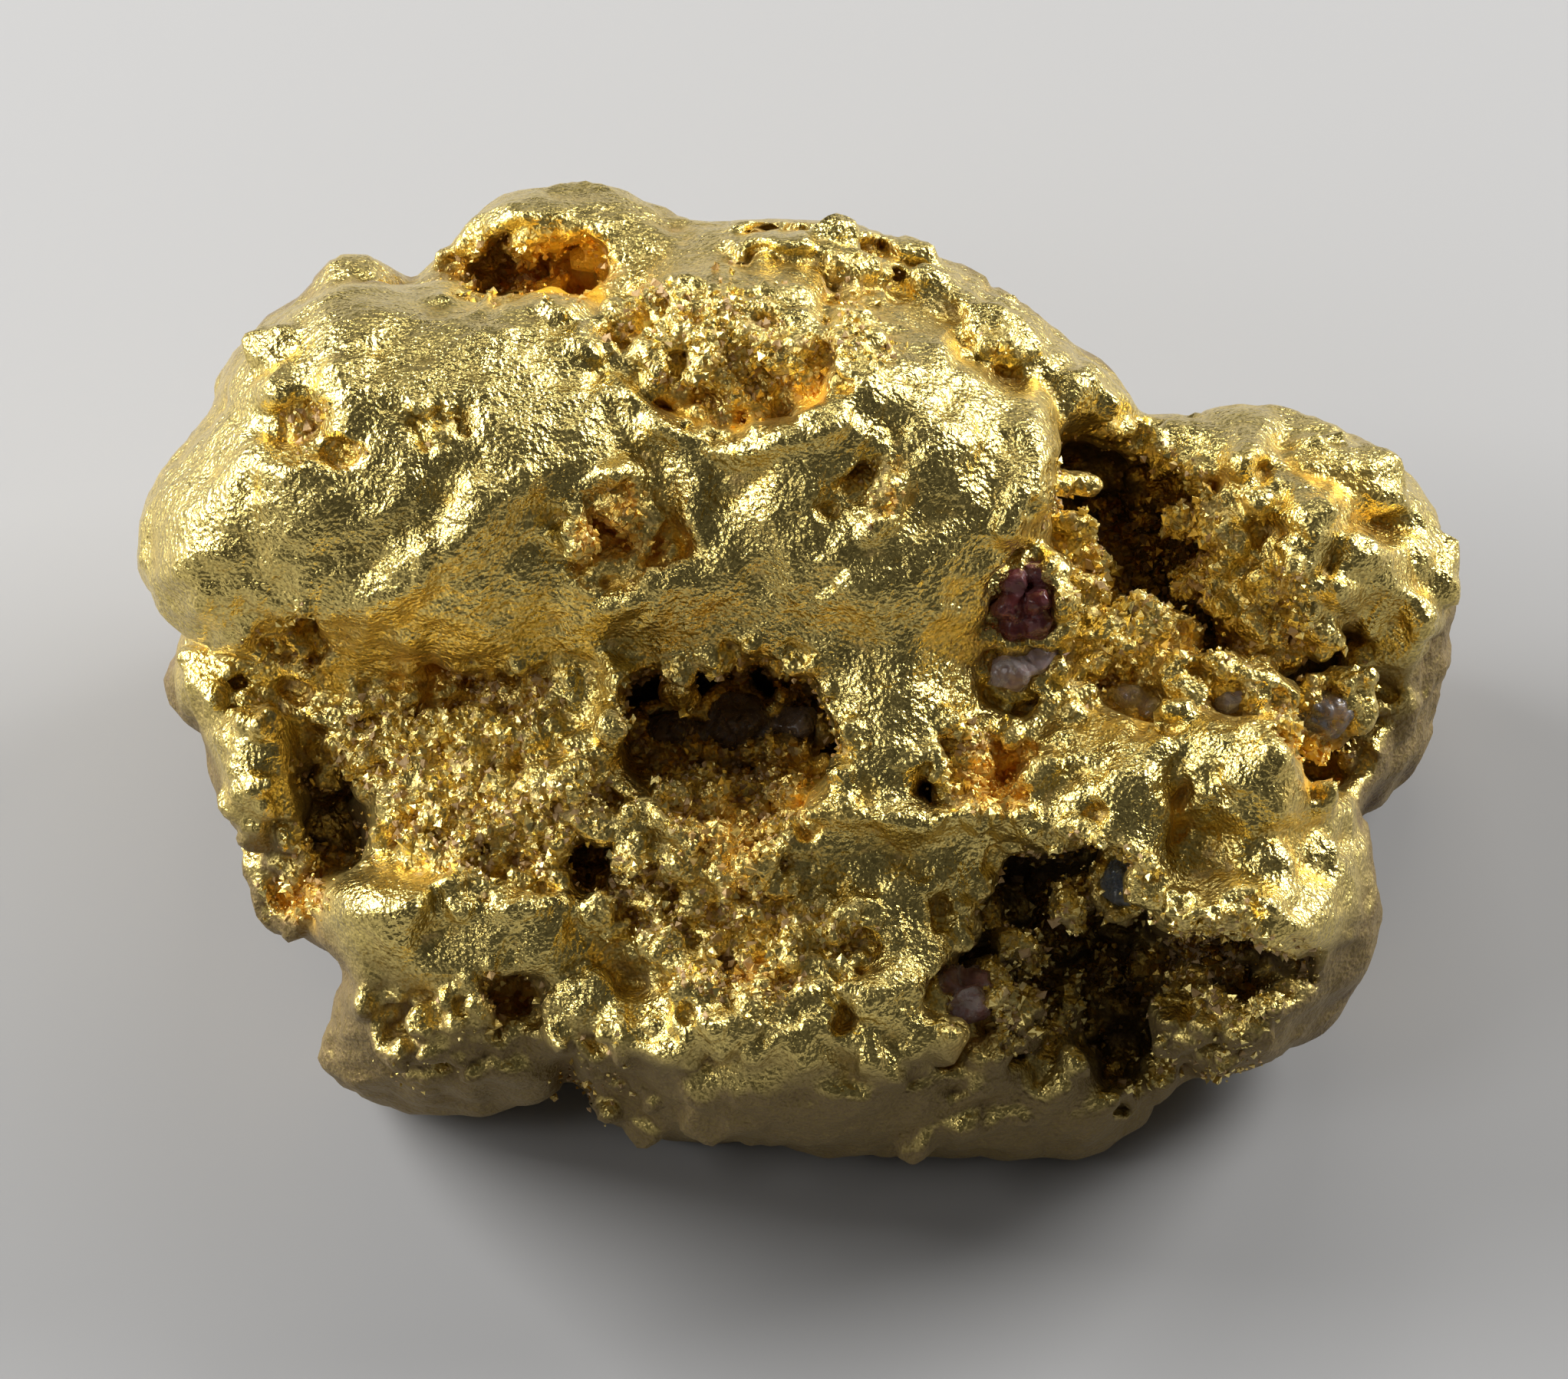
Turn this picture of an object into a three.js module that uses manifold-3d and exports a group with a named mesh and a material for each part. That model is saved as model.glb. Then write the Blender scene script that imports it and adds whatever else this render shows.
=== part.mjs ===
import * as THREE from "three";
import { ImprovedNoise } from "three/addons/math/ImprovedNoise.js";
import { mergeVertices } from "three/addons/utils/BufferGeometryUtils.js";
import { SimplifyModifier } from "three/addons/modifiers/SimplifyModifier.js";
import Module from "manifold-3d";

// A gold nugget with caught grains of quartz. Sizes are in millimetres, up is +Z.
// The richly hollowed face leans back from upright. Its own directions are right, up and near,
// where near points out of the face.

// Driving dimensions.
const FACE_LEAN_DEG = 35;
const FACE_LIFT = 5.5;
const CELL = 0.25; // spacing of the grid that the gold's shape is worked out on
const FIELD_MIN = [-11.75, -9, -12];
const FIELD_MAX = [11.75, 9, 6];
const GOLD_TRIANGLES = 8600;
const LOBE_BLEND = 0.7;
const RIM_BLEND = 0.9;
const RIM_ALLOWANCE = 0.42; // what the blend at the rim would take off the outline
const RIM_CURVE = 25.6; // larger for a flatter edge all round
const HOLLOW_BLEND = 0.35;
const FLOOR_BLEND = 1.2;
const CRUMB_BLEND = 0.25;
const SEAT_GAP = 0.3; // clearance between a grain of quartz and its seat
const SKIN_DEPTH = 1.6; // how deep below the face its relief and crust reach
const WAVES = { grain: 2.1, rise: 0.1 };
const CRUST_LUMPS = { grain: 0.85, rise: 0.24 };
const BACK_LUMPS = { grain: 3.4, rise: 0.4, fade: 2 };
const EQUATOR = { depth: -1.9, perUp: -0.2, perRight: -0.22, rightFrom: 2 };
const GRAIN_DETAIL = 1;
const GRAIN_FLATS = 9;
const GRAIN_CUT = { reach: 0.72, spread: 0.1 };
const GROUND_SLAB = { width: 40, depth: 8 };

// The outline of the face, clockwise from the left end: right, up.
const OUTLINE = [
  [-11, 1.8], [-10.7, 2.7], [-10.4, 3.2], [-9.9, 3.55], [-9.5, 4.3], [-9.4, 4.8], [-9.15, 5.1],
  [-8.8, 5.5], [-8.3, 6.1], [-8.1, 6.5], [-7.7, 6.8], [-7.3, 6.95], [-7, 6.8], [-6.9, 6.6],
  [-6.2, 6.4], [-5.9, 6.75], [-5.4, 7.6], [-5.05, 7.9], [-4.35, 8.1], [-3.6, 8.1], [-2.9, 7.97],
  [-2.4, 7.7], [-1.45, 7.35], [-0.2, 7.5], [1.35, 7.25], [2, 6.95], [2.65, 6.7], [3.3, 6.35],
  [3.8, 6], [4.3, 5.25], [5.1, 4.85], [5.6, 4.35], [5.95, 4.3], [6.1, 4.5], [6.4, 4.55],
  [7.15, 4.35], [8.1, 4.15], [8.6, 3.9], [9.35, 3.55], [10, 3.1], [10.5, 2.45], [10.85, 1.7],
  [11, 0.8], [10.9, 0.25], [10.6, -0.4], [10.35, -0.9], [10.35, -1.4], [10.15, -1.95],
  [9.75, -2.35], [9.55, -2.6], [9.6, -3], [9.75, -3.6], [9.8, -4.25], [9.6, -4.8], [9.3, -5.3],
  [8.85, -5.7], [8.3, -6.1], [7.8, -6.4], [7.3, -6.75], [6.65, -6.95], [6.1, -7], [5.85, -6.8],
  [5.65, -6.9], [5.9, -7.35], [5.65, -7.6], [4.95, -7.95], [3.9, -8.1], [2.4, -8], [0.4, -7.95],
  [-2.15, -7.85], [-2.8, -7.75], [-3.2, -7.45], [-3.85, -7.25], [-5.9, -7.3], [-6.7, -7.25],
  [-7.35, -7], [-7.85, -6.2], [-7.8, -5.7], [-7.45, -5.5], [-7.5, -4.7], [-8, -4.55],
  [-8.65, -4], [-8.75, -3.5], [-9, -3], [-9.4, -2.05], [-9.55, -1.5], [-9.5, -1.25],
  [-9.95, -0.9], [-10.4, -0.5], [-10.7, 0], [-10.75, 0.65], [-10.9, 1.3],
];

// Lobes that stand out of the face: centre, radii, roll in degrees.
const FACE_LOBES = [
  { at: [-6.9, 3.3, 0.7], radii: [4.5, 3.2, 3.5], roll: 18 },
  { at: [-4.4, 3.4, 1.0], radii: [2.7, 2.4, 3.2], roll: 0 },
  { at: [-5.2, 1.9, 0.8], radii: [3.6, 2.1, 3.0], roll: 0 },
  { at: [-2.2, 3.0, 0.9], radii: [2.2, 1.6, 2.8], roll: 0 },
  { at: [-2.0, 1.3, 0.8], radii: [2.5, 1.5, 2.5], roll: 0 },
  { at: [-3.8, 6.1, -3.3], radii: [2.5, 2.1, 3.0], roll: 0 },
  { at: [-7.4, 6.2, -3.0], radii: [0.9, 0.8, 1.6], roll: 0 },
  { at: [-8.6, 4.6, -2.8], radii: [1.2, 1.5, 2.4], roll: 0 },
  { at: [0.1, 5.5, -2.3], radii: [3.4, 2.1, 3.4], roll: -6 },
  { at: [3.3, 4.5, -2.0], radii: [2.6, 1.7, 2.9], roll: -28 },
  { at: [1.1, 2.7, 0.9], radii: [3.4, 3.3, 3.6], roll: 0 },
  { at: [1.5, -1.2, 1.4], radii: [1.3, 2.4, 2.3], roll: 4 },
  { at: [8.3, 2.0, -2.6], radii: [2.9, 2.7, 3.5], roll: -10 },
  { at: [9.6, 0.3, -3.6], radii: [1.5, 2.6, 2.6], roll: 0 },
  { at: [6.4, -0.3, -0.4], radii: [2.6, 0.9, 2.2], roll: -8 },
  { at: [7.1, -3.1, 0.8], radii: [2.9, 2.4, 3.1], roll: -28 },
  { at: [5.2, -1.9, 0.7], radii: [1.6, 1.3, 2.4], roll: 0 },
  { at: [8.0, -5.2, -0.3], radii: [1.6, 1.3, 2.0], roll: 30 },
  { at: [-4.8, -5.0, 0.7], radii: [3.2, 2.2, 2.6], roll: -4 },
  { at: [0.4, -5.5, 1.0], radii: [4.2, 2.6, 2.9], roll: 0 },
  { at: [4.0, -6.9, -0.2], radii: [2.3, 1.3, 2.1], roll: 4 },
  { at: [-5.9, -6.3, -0.4], radii: [2.2, 1.1, 2.0], roll: 0 },
  { at: [-2.3, -7.0, -0.2], radii: [1.3, 0.95, 1.6], roll: 0 },
  { at: [-8.9, -1.6, -1.0], radii: [1.0, 1.7, 2.0], roll: 10 },
  { at: [-8.0, -3.4, -1.1], radii: [1.0, 1.3, 1.9], roll: 20 },
  { at: [-9.6, -0.4, -1.6], radii: [1.1, 0.9, 1.8], roll: 0 },
  { at: [-5.6, -1.9, -1.2], radii: [3.2, 2.3, 3.0], roll: 0 },
];

// Lobes of the body behind the face and of its underside, in the nugget's own frame.
const BODY_LOBES = [
  { at: [-0.5, 0.9, 4.3], radii: [8.4, 6.6, 4.0] },
  { at: [-6.0, 2.6, 3.6], radii: [4.2, 4.6, 3.9] },
  { at: [5.8, 1.6, 3.1], radii: [4.4, 4.6, 3.2] },
  { at: [0.5, 4.6, 3.2], radii: [5.2, 3.4, 3.0] },
  { at: [1.0, -3.9, 2.1], radii: [5.6, 2.9, 2.6] },
];

// Feet that the nugget rests on, worn flat at the ground.
const FEET = [
  { at: [0.6, -3.4, 1.1], radii: [4.4, 2.6, 1.9] },
  { at: [-5.4, 3.0, 1.0], radii: [2.6, 2.4, 1.7] },
  { at: [5.6, 2.2, 1.0], radii: [2.6, 2.3, 1.7] },
];

// Deep hollows: the opening's outline seen square to the face, and the depth of the floor.
const HOLLOWS = [
  { // between the middle and the right-hand lobe
    floor: -1.2, mouth: [
      [4.3, 3.9], [5.2, 3.7], [5.9, 3.2], [6.8, 2.6], [6.5, 1.9], [6.3, 1.3], [6.9, 0.6],
      [6.4, 0.1], [5.7, 0.5], [4.8, 0.8], [4.6, 2], [4.2, 2.4], [4.2, 3],
    ],
  },
  { // lower right, open towards the ground
    floor: -1, mouth: [
      [3.6, -3.2], [4.6, -2.9], [5.1, -3.3], [5.4, -3.9], [6, -4.4], [7.2, -4.3], [8.1, -4.7],
      [8.2, -5.3], [7.6, -5.4], [6.4, -5.3], [5.9, -6], [5.9, -6.8], [5.3, -6.6], [4.9, -6.3],
      [4.2, -5.9], [3, -6], [2.2, -5.8], [2.1, -5.2], [2.6, -4.8], [3.1, -4.4], [3.3, -4],
    ],
  },
  { // the middle
    floor: -0.6, mouth: [
      [-2.9, -0.2], [-2.4, 0], [-1.9, -0.4], [-0.9, 0.1], [0.1, -0.1], [0.4, -0.6], [0.7, -1.3],
      [0.6, -2], [0.2, -2.7], [-0.9, -3.1], [-1.9, -2.6], [-2.5, -2.1], [-2.9, -1.5],
    ],
  },
  { // the groove under the upper left lobe
    floor: 0.9, mouth: [
      [-9, 0.6], [-8.3, 0.8], [-7.6, 0.5], [-6.6, 0.15], [-5.4, -0.2], [-3.8, -0.4], [-3.7, -0.75],
      [-5, -1], [-6.4, -0.9], [-7.6, -0.6], [-8.6, -0.2],
    ],
  },
  { // the amber pocket
    floor: 1.5, mouth: [
      [2.3, -1.2], [2.8, -0.85], [3.7, -1.15], [4, -1.8], [3.7, -2.45], [3, -2.2], [2.6, -2.45],
      [1.9, -2.35], [2.2, -1.8],
    ],
  },
  { // under the top lobe
    floor: -3, mouth: [
      [-5.8, 6.9], [-4.6, 7.1], [-3.2, 6.9], [-3, 6.4], [-3.6, 6], [-4.2, 6.3], [-4.8, 6],
      [-5.6, 6.3],
    ],
  },
  { // the crater round the rough mound
    floor: 0.9, mouth: [
      [-3.6, 5.8], [-3, 4.8], [-2.4, 4.2], [-1.2, 3.85], [-0.3, 3.95], [0.5, 4.3], [0.7, 4.9],
      [0.2, 5.8], [-1.3, 6.2], [-2.6, 6.2],
    ],
  },
  { // the barred pit
    floor: 2, mouth: [
      [-3.6, 2.9], [-2.8, 3.1], [-2, 2.9], [-2, 2.1], [-2.3, 1.3], [-3.2, 1.1], [-3.5, 1.9],
    ],
  },
  { // between the small left lump and the crusty slope
    floor: -0.6, mouth: [
      [-8.3, -1.4], [-7.5, -1.5], [-7, -2.5], [-7.3, -3.4], [-8.1, -3.5], [-8.3, -2.4],
    ],
  },
  { // the right-hand pocket
    floor: -2.6, mouth: [
      [8.2, 0.3], [9.4, 0.4], [9.8, -0.4], [9.4, -1.2], [9, -2.1], [8.2, -2], [8.2, -1.2],
      [8, -0.4],
    ],
  },
  { // the pit in the lower bar's left end
    floor: 1.9, mouth: [
      [-5.3, -5.1], [-4.4, -4.9], [-4, -5.3], [-4.2, -5.9], [-5.1, -5.9],
    ],
  },
  { // the gap where the lower bar meets the crusty slope
    floor: 1, mouth: [[-3.9, -3.1], [-3.1, -2.9], [-2.8, -3.4], [-3.4, -3.7]],
  },
];

// Shallow shapes of the face's skin: half width, rise (below zero for a dent) and path.
const RELIEF = [
  {
    width: 0.3, rise: 0.25,
    path: [[-3.6, 5.9], [-2.8, 4.7], [-2.2, 3.8], [-1.2, 3.5], [-0.3, 3.6], [0.7, 4]],
  },
    { width: 0.28, rise: -0.45, path: [[-0.8, 6.5], [0.2, 6.3], [1.9, 6.1], [2.5, 5.8]] },
  { width: 0.3, rise: -0.7, path: [[2.7, 5.5], [3.2, 5], [4, 4.6]] },
  { width: 0.4, rise: 0.25, path: [[2.5, 6], [3.3, 5.5], [4.5, 4.7], [5, 4.4]] },
  { width: 0.45, rise: -0.5, path: [[-8.3, 3.95], [-8, 3.85]] },
  { width: 0.3, rise: -0.3, path: [[-7.3, 3.3]] },
  { width: 0.28, rise: -0.3, path: [[-6.1, 3.85], [-5.5, 4]] },
  { width: 0.35, rise: 0.3, path: [[-7.2, 0.9], [-5.8, 1.9], [-4.3, 3]] },
  { width: 0.3, rise: -0.2, path: [[-7, 1.9], [-5.4, 3]] },
  { width: 0.28, rise: 0.35, path: [[-1.7, 3.1], [-1.6, 2.2]] },
  { width: 0.35, rise: 0.3, path: [[-3.4, 0.9], [-2.2, 1.1], [-1.2, 1.6]] },
  { width: 0.3, rise: -0.3, path: [[1.6, 3.85]] },
  { width: 0.5, rise: -0.35, path: [[0.8, 2.6], [1.6, 3], [2.2, 2.6]] },
  { width: 0.25, rise: -0.3, path: [[1.5, 1.75]] },
  { width: 0.3, rise: 0.3, path: [[1, 5.9], [1, 4.6]] },
  { width: 0.35, rise: 0.35, path: [[3.9, 4.6], [3.9, 3.4], [3.5, 2.4]] },
  { width: 0.35, rise: 0.4, path: [[4.3, 2.75]] },
  { width: 0.28, rise: -0.6, path: [[8.1, 3.7], [8.6, 3.3], [9.1, 2.9], [9.7, 2.5]] },
  { width: 0.5, rise: 0.4, path: [[8.5, 2.4]] },
  { width: 0.5, rise: 0.3, path: [[7.5, 3.3]] },
  { width: 0.5, rise: 0.3, path: [[8.5, 1.4]] },
  { width: 0.3, rise: -0.4, path: [[7.2, 0.6], [8.4, 0.5], [9.6, 0.8]] },
  { width: 0.2, rise: -0.5, path: [[6.2, -1.9], [6.3, -2.9]] },
  {
    width: 0.4, rise: 0.35,
    path: [[4.2, -2.7], [5, -2.7], [5.6, -3.4], [6.2, -3.9], [7.2, -3.9], [8.3, -4.3]],
  },
  { width: 0.5, rise: 0.35, path: [[6.6, -1.2], [7.8, -1.8]] },
  { width: 0.5, rise: -0.25, path: [[6.9, -3.2]] },
  { width: 0.5, rise: -0.2, path: [[8.4, -3.1]] },
  { width: 0.45, rise: 0.35, path: [[-7.4, -3.8], [-6.5, -4.2]] },
  { width: 0.9, rise: -0.7, path: [[-2.4, -4.2], [-1.2, -4.7], [0.2, -4.6]] },
  { width: 0.25, rise: 0.35, path: [[-3, -4.1], [-1.9, -4.9]] },
  { width: 0.22, rise: 0.3, path: [[-5.4, -5.7], [-5, -6.2]] },
  { width: 0.25, rise: 0.35, path: [[-3.9, -6.3], [-3, -6.1], [-2, -6.4], [-1.5, -5.9]] },
  { width: 0.25, rise: -0.5, path: [[-3.9, -6.6], [-3.7, -7.2]] },
  { width: 0.2, rise: -0.35, path: [[1.2, -5], [0.9, -5.4], [0.5, -5.9]] },
  { width: 0.25, rise: -0.5, path: [[-0.7, -5.15]] },
  { width: 0.25, rise: 0.3, path: [[1.2, -2.6], [2.2, -2.6], [3.2, -2.65], [4, -2.6]] },
  { width: 0.28, rise: 0.4, path: [[-3, -0.3], [-3.1, -0.9], [-3.8, -2.2]] },
  { width: 0.25, rise: 0.35, path: [[-8.8, -0.8], [-7.8, -2.8]] },
  { width: 1.1, rise: -0.8, path: [[-7.4, -1.5], [-5.6, -1.7], [-4, -1.5]] },
  { width: 0.5, rise: 0.35, path: [[-7.2, -3.8], [-5.6, -3.6], [-4, -3.9]] },
  { width: 0.25, rise: -0.45, path: [[-7.5, -5.1], [-6, -5.4], [-4.6, -6.3]] },
  { width: 0.25, rise: -0.4, path: [[2.3, -6.4], [2.8, -6.5]] },
  { width: 0.22, rise: -0.4, path: [[3.3, -6.2], [3.6, -6.3]] },
];

// Places where the skin is crusty instead of smooth: centre and reach.
const CRUSTS = [
  { at: [-5.6, -2], reach: 1.7 },
  { at: [-1, -4.6], reach: 1.6 },
  { at: [-1.2, -2.4], reach: 1.4 },
  { at: [-1.3, 5.2], reach: 1.1 },
  { at: [-2.8, 2.2], reach: 0.8 },
  { at: [5.9, 1.4], reach: 1.4 },
  { at: [6.4, -0.4], reach: 1.4 },
  { at: [6.8, -5.9], reach: 1.2 },
  { at: [3.6, -4.8], reach: 1.3 },
  { at: [9, -1], reach: 1 },
  { at: [3, -1.7], reach: 0.9 },
];

// Crumbs of gold inside the hollows: centre and radius.
const CRUMBS = [
  { at: [5.1, 2.8, -0.3], radius: 0.5 },
  { at: [4.7, 1.9, 0.3], radius: 0.5 },
  { at: [4.6, 1.2, 0.8], radius: 0.5 },
  { at: [5.5, 0.5, 0.5], radius: 0.6 },
  { at: [6.5, 1.7, -0.5], radius: 0.6 },
  { at: [-1.3, 5.3, 0.8], radius: 1.2 },
  { at: [-2.2, 5.5, 0.8], radius: 0.8 },
  { at: [-0.3, 5.6, 0.8], radius: 0.8 },
  { at: [-1.8, 4.9, 1.1], radius: 0.6 },
  { at: [3.7, -4.4, 0.6], radius: 0.5 },
  { at: [3.9, -5.1, 0.4], radius: 0.6 },
  { at: [4.2, -5.7, 0.3], radius: 0.5 },
  { at: [6.5, -5.8, 0.7], radius: 0.6 },
  { at: [6.9, -6.3, 0.2], radius: 0.55 },
  { at: [7.5, -6.1, 0.1], radius: 0.6 },
  { at: [6.2, -6.7, -0.3], radius: 0.4 },
  { at: [-2.3, -2.2, 1.3], radius: 0.7 },
  { at: [-1.2, -2.7, 1.2], radius: 0.8 },
  { at: [0.1, -2.6, 1.5], radius: 0.8 },
  { at: [-1.9, -0.4, 2.1], radius: 0.4 },
  { at: [-0.4, -1.9, 0.3], radius: 0.6 },
  { at: [-1.7, -1.7, 0.3], radius: 0.6 },
  { at: [9.5, 0.1, -1.6], radius: 0.5 },
  { at: [10, -0.6, -2.2], radius: 0.5 },
  { at: [9.6, -1.5, -2.4], radius: 0.5 },
];

const GOLD = { colour: 0xd9a13a, roughness: 0.35, metalness: 1 };

// Grains of quartz: each node's lumps, given by centre, radii and roll in degrees.
const QUARTZ = {
  stained_quartz: {
    colour: 0x9a4a48, roughness: 0.25, lumps: [
      { at: [3.75, 1.25, 2.65], radii: [0.6, 0.42, 0.55], roll: -20 },
      { at: [3.7, 0.72, 2.45], radii: [0.5, 0.36, 0.5], roll: 10 },
    ],
  },
  milky_quartz: {
    colour: 0xd8b3a4, roughness: 0.3, lumps: [
      { at: [3.6, -0.1, 2.15], radii: [0.42, 0.36, 0.45], roll: 0 },
      { at: [4.0, 0.06, 2.05], radii: [0.42, 0.24, 0.34], roll: 25 },
    ],
  },
  hollow_quartz: {
    colour: 0xb9a08c, roughness: 0.3, lumps: [
      { at: [-2.0, -1.1, 0.1], radii: [0.66, 0.4, 0.5], roll: 10 },
      { at: [-1.05, -0.95, -0.05], radii: [0.66, 0.5, 0.55], roll: 0 },
      { at: [-0.15, -0.95, 0.05], radii: [0.62, 0.38, 0.5], roll: -15 },
    ],
  },
  ridge_quartz: {
    colour: 0xc9b8a2, roughness: 0.3, lumps: [
      { at: [5.6, -0.6, 1.6], radii: [0.5, 0.26, 0.4], roll: -30 },
    ],
  },
  lilac_quartz: {
    colour: 0xb8a4b4, roughness: 0.3, lumps: [
      { at: [7.2, -0.6, 1.5], radii: [0.36, 0.34, 0.4], roll: 0 },
    ],
  },
  white_quartz: {
    colour: 0xe4e0dc, roughness: 0.35, lumps: [
      { at: [8.7, -0.8, 0.2], radii: [0.62, 0.5, 0.6], roll: -20 },
    ],
  },
  cleft_quartz: {
    colour: 0xbcc4cf, roughness: 0.3, lumps: [
      { at: [5.3, -3.5, 1.9], radii: [0.36, 0.55, 0.5], roll: 10 },
    ],
  },
  bar_quartz: {
    colour: 0xc99486, roughness: 0.3, lumps: [
      { at: [2.7, -5.4, 2.6], radii: [0.7, 0.5, 0.6], roll: 8 },
    ],
  },
};

const noise = new ImprovedNoise();
const wasm = await Module();
wasm.setup();

// The nugget's frame and, inside it, the leaning frame of the face.
const nugget = new THREE.Group();
nugget.name = "nugget";
const face = new THREE.Group();
face.name = "face";
face.position.z = FACE_LIFT;
face.rotation.x = THREE.MathUtils.degToRad(FACE_LEAN_DEG);
nugget.add(face);
nugget.updateMatrixWorld(true);

function smoothMin(a, b, blend) {
  const h = Math.max(blend - Math.abs(a - b), 0) / blend;
  return Math.min(a, b) - (h * h * blend) / 4;
}

function smoothMax(a, b, blend) {
  return -smoothMin(-a, -b, blend);
}

// Signed distance to a closed outline, below zero inside it.
function outlineDistance(outline, x, y) {
  let nearest = Infinity;
  let inside = false;
  let [px, py] = outline[outline.length - 1];
  for (const [qx, qy] of outline) {
    nearest = Math.min(nearest, segmentDistance(x, y, px, py, qx, qy));
    if (qy > y !== py > y && x < ((px - qx) * (y - qy)) / (py - qy) + qx) {
      inside = !inside;
    }
    [px, py] = [qx, qy];
  }
  return inside ? -nearest : nearest;
}

function segmentDistance(x, y, px, py, qx, qy) {
  const ex = qx - px;
  const ey = qy - py;
  const length = ex * ex + ey * ey;
  const t = length ? THREE.MathUtils.clamp(((x - px) * ex + (y - py) * ey) / length, 0, 1) : 0;
  return Math.hypot(x - px - t * ex, y - py - t * ey);
}

function pathDistance(path, x, y) {
  let nearest = Infinity;
  path.forEach(([px, py], i) => {
    const [qx, qy] = path[i + 1] ?? [px, py];
    nearest = Math.min(nearest, segmentDistance(x, y, px, py, qx, qy));
  });
  return nearest;
}

// A lobe's distance function, for points of the face's frame.
function lobeDistance(parent, { at, radii, roll = 0 }) {
  const handle = new THREE.Object3D();
  handle.position.set(...at);
  handle.rotation.z = THREE.MathUtils.degToRad(roll);
  parent.add(handle);
  handle.updateMatrixWorld(true);
  parent.remove(handle);
  const m = handle.matrixWorld.clone().invert().multiply(face.matrixWorld).elements;
  const [a, b, c] = radii;
  return (x, y, z) => {
    const qx = (m[0] * x + m[4] * y + m[8] * z + m[12]) / a;
    const qy = (m[1] * x + m[5] * y + m[9] * z + m[13]) / b;
    const qz = (m[2] * x + m[6] * y + m[10] * z + m[14]) / c;
    const reach = Math.hypot(qx, qy, qz);
    return (reach * (reach - 1)) / Math.max(Math.hypot(qx / a, qy / b, qz / c), 1e-6);
  };
}

// Irregular lumps as wide as grain, with half as wide ones on them.
function lumpiness(x, y, z, { grain, rise }) {
  const coarse = noise.noise(x / grain + 31.7, y / grain + 17.3, z / grain + 53.9);
  const fine = noise.noise((2 * x) / grain + 31.7, (2 * y) / grain + 17.3, (2 * z) / grain + 53.9);
  return rise * (coarse + fine / 2);
}

// Depth at which the silhouette runs round the lump.
function edgeDepth(x, y) {
  const beyond = Math.max(x - EQUATOR.rightFrom, 0);
  return EQUATOR.depth + EQUATOR.perUp * y + EQUATOR.perRight * beyond;
}

// How far the skin's shallow shapes rise at a place of the face.
function reliefAt(x, y) {
  return RELIEF.reduce((sum, { path, width, rise }) => (
    sum + rise * Math.exp(-((pathDistance(path, x, y) / width) ** 2))
  ), 0);
}

// How crusty the skin is at a place of the face, from 0 to 1.
function crustAt(x, y) {
  return Math.max(...CRUSTS.map(({ at: [cx, cy], reach }) => (
    Math.exp(-((Math.hypot(x - cx, y - cy) / reach) ** 4))
  )));
}

// The gold's field on a regular grid in the face's frame, below zero inside the metal.
function goldField() {
  const count = FIELD_MIN.map((low, i) => Math.round((FIELD_MAX[i] - low) / CELL) + 1);
  const [nx, ny, nz] = count;
  const field = new Float32Array(nx * ny * nz);
  const lobes = [
    ...FACE_LOBES.map((lobe) => lobeDistance(face, lobe)),
    ...[...BODY_LOBES, ...FEET].map((lobe) => lobeDistance(nugget, lobe)),
  ];
  const crumbs = CRUMBS.map(({ at, radius }) => (
    lobeDistance(face, { at, radii: [radius, radius, radius] })
  ));
  const seats = Object.values(QUARTZ).flatMap(({ lumps }) => lumps.map(({ at, radii, roll }) => (
    lobeDistance(face, { at, roll, radii: radii.map((r) => r + SEAT_GAP) })
  )));
  const body = new Float32Array(nz);
  for (let i = 0; i < nx; i++) {
    for (let j = 0; j < ny; j++) {
      const x = FIELD_MIN[0] + i * CELL;
      const y = FIELD_MIN[1] + j * CELL;
      const rim = outlineDistance(OUTLINE, x, y);
      const mouths = HOLLOWS.map(({ mouth }) => outlineDistance(mouth, x, y));
      const relief = reliefAt(x, y);
      const crust = crustAt(x, y);
      const equator = edgeDepth(x, y);
      let skin = -Infinity;
      for (let k = nz - 1; k >= 0; k--) {
        const z = FIELD_MIN[2] + k * CELL;
        let d = Infinity;
        for (const lobe of lobes) {
          d = smoothMin(d, lobe(x, y, z), LOBE_BLEND);
        }
        d = smoothMax(d, rim - RIM_ALLOWANCE + (z - equator) ** 2 / RIM_CURVE, RIM_BLEND);
        body[k] = d;
        if (skin === -Infinity && d < 0) {
          skin = z + (CELL * d) / (d - body[k + 1]);
        }
      }
      for (let k = 0; k < nz; k++) {
        const z = FIELD_MIN[2] + k * CELL;
        const near = Math.exp(-(((z - skin) / SKIN_DEPTH) ** 2));
        let d = body[k] - relief * near;
        HOLLOWS.forEach(({ floor }, h) => {
          d = smoothMax(d, -smoothMax(mouths[h], floor - z, FLOOR_BLEND), HOLLOW_BLEND);
        });
        crumbs.forEach((crumb) => {
          d = smoothMin(d, crumb(x, y, z), CRUMB_BLEND);
        });
        if (Math.abs(d) < SKIN_DEPTH) {
          const behind = THREE.MathUtils.smoothstep(equator - z, 0, BACK_LUMPS.fade);
          d += lumpiness(x, y, z, WAVES);
          d += crust * near * lumpiness(x, y, z, CRUST_LUMPS);
          d += behind * lumpiness(x, y, z, BACK_LUMPS);
        }
        seats.forEach((seat) => {
          d = Math.max(d, -seat(x, y, z));
        });
        const border = i < 2 || j < 2 || k < 2 || i > nx - 3 || j > ny - 3 || k > nz - 3;
        field[i + nx * (j + ny * k)] = border ? Math.max(d, CELL) : d;
      }
    }
  }
  return { field, count };
}

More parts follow.
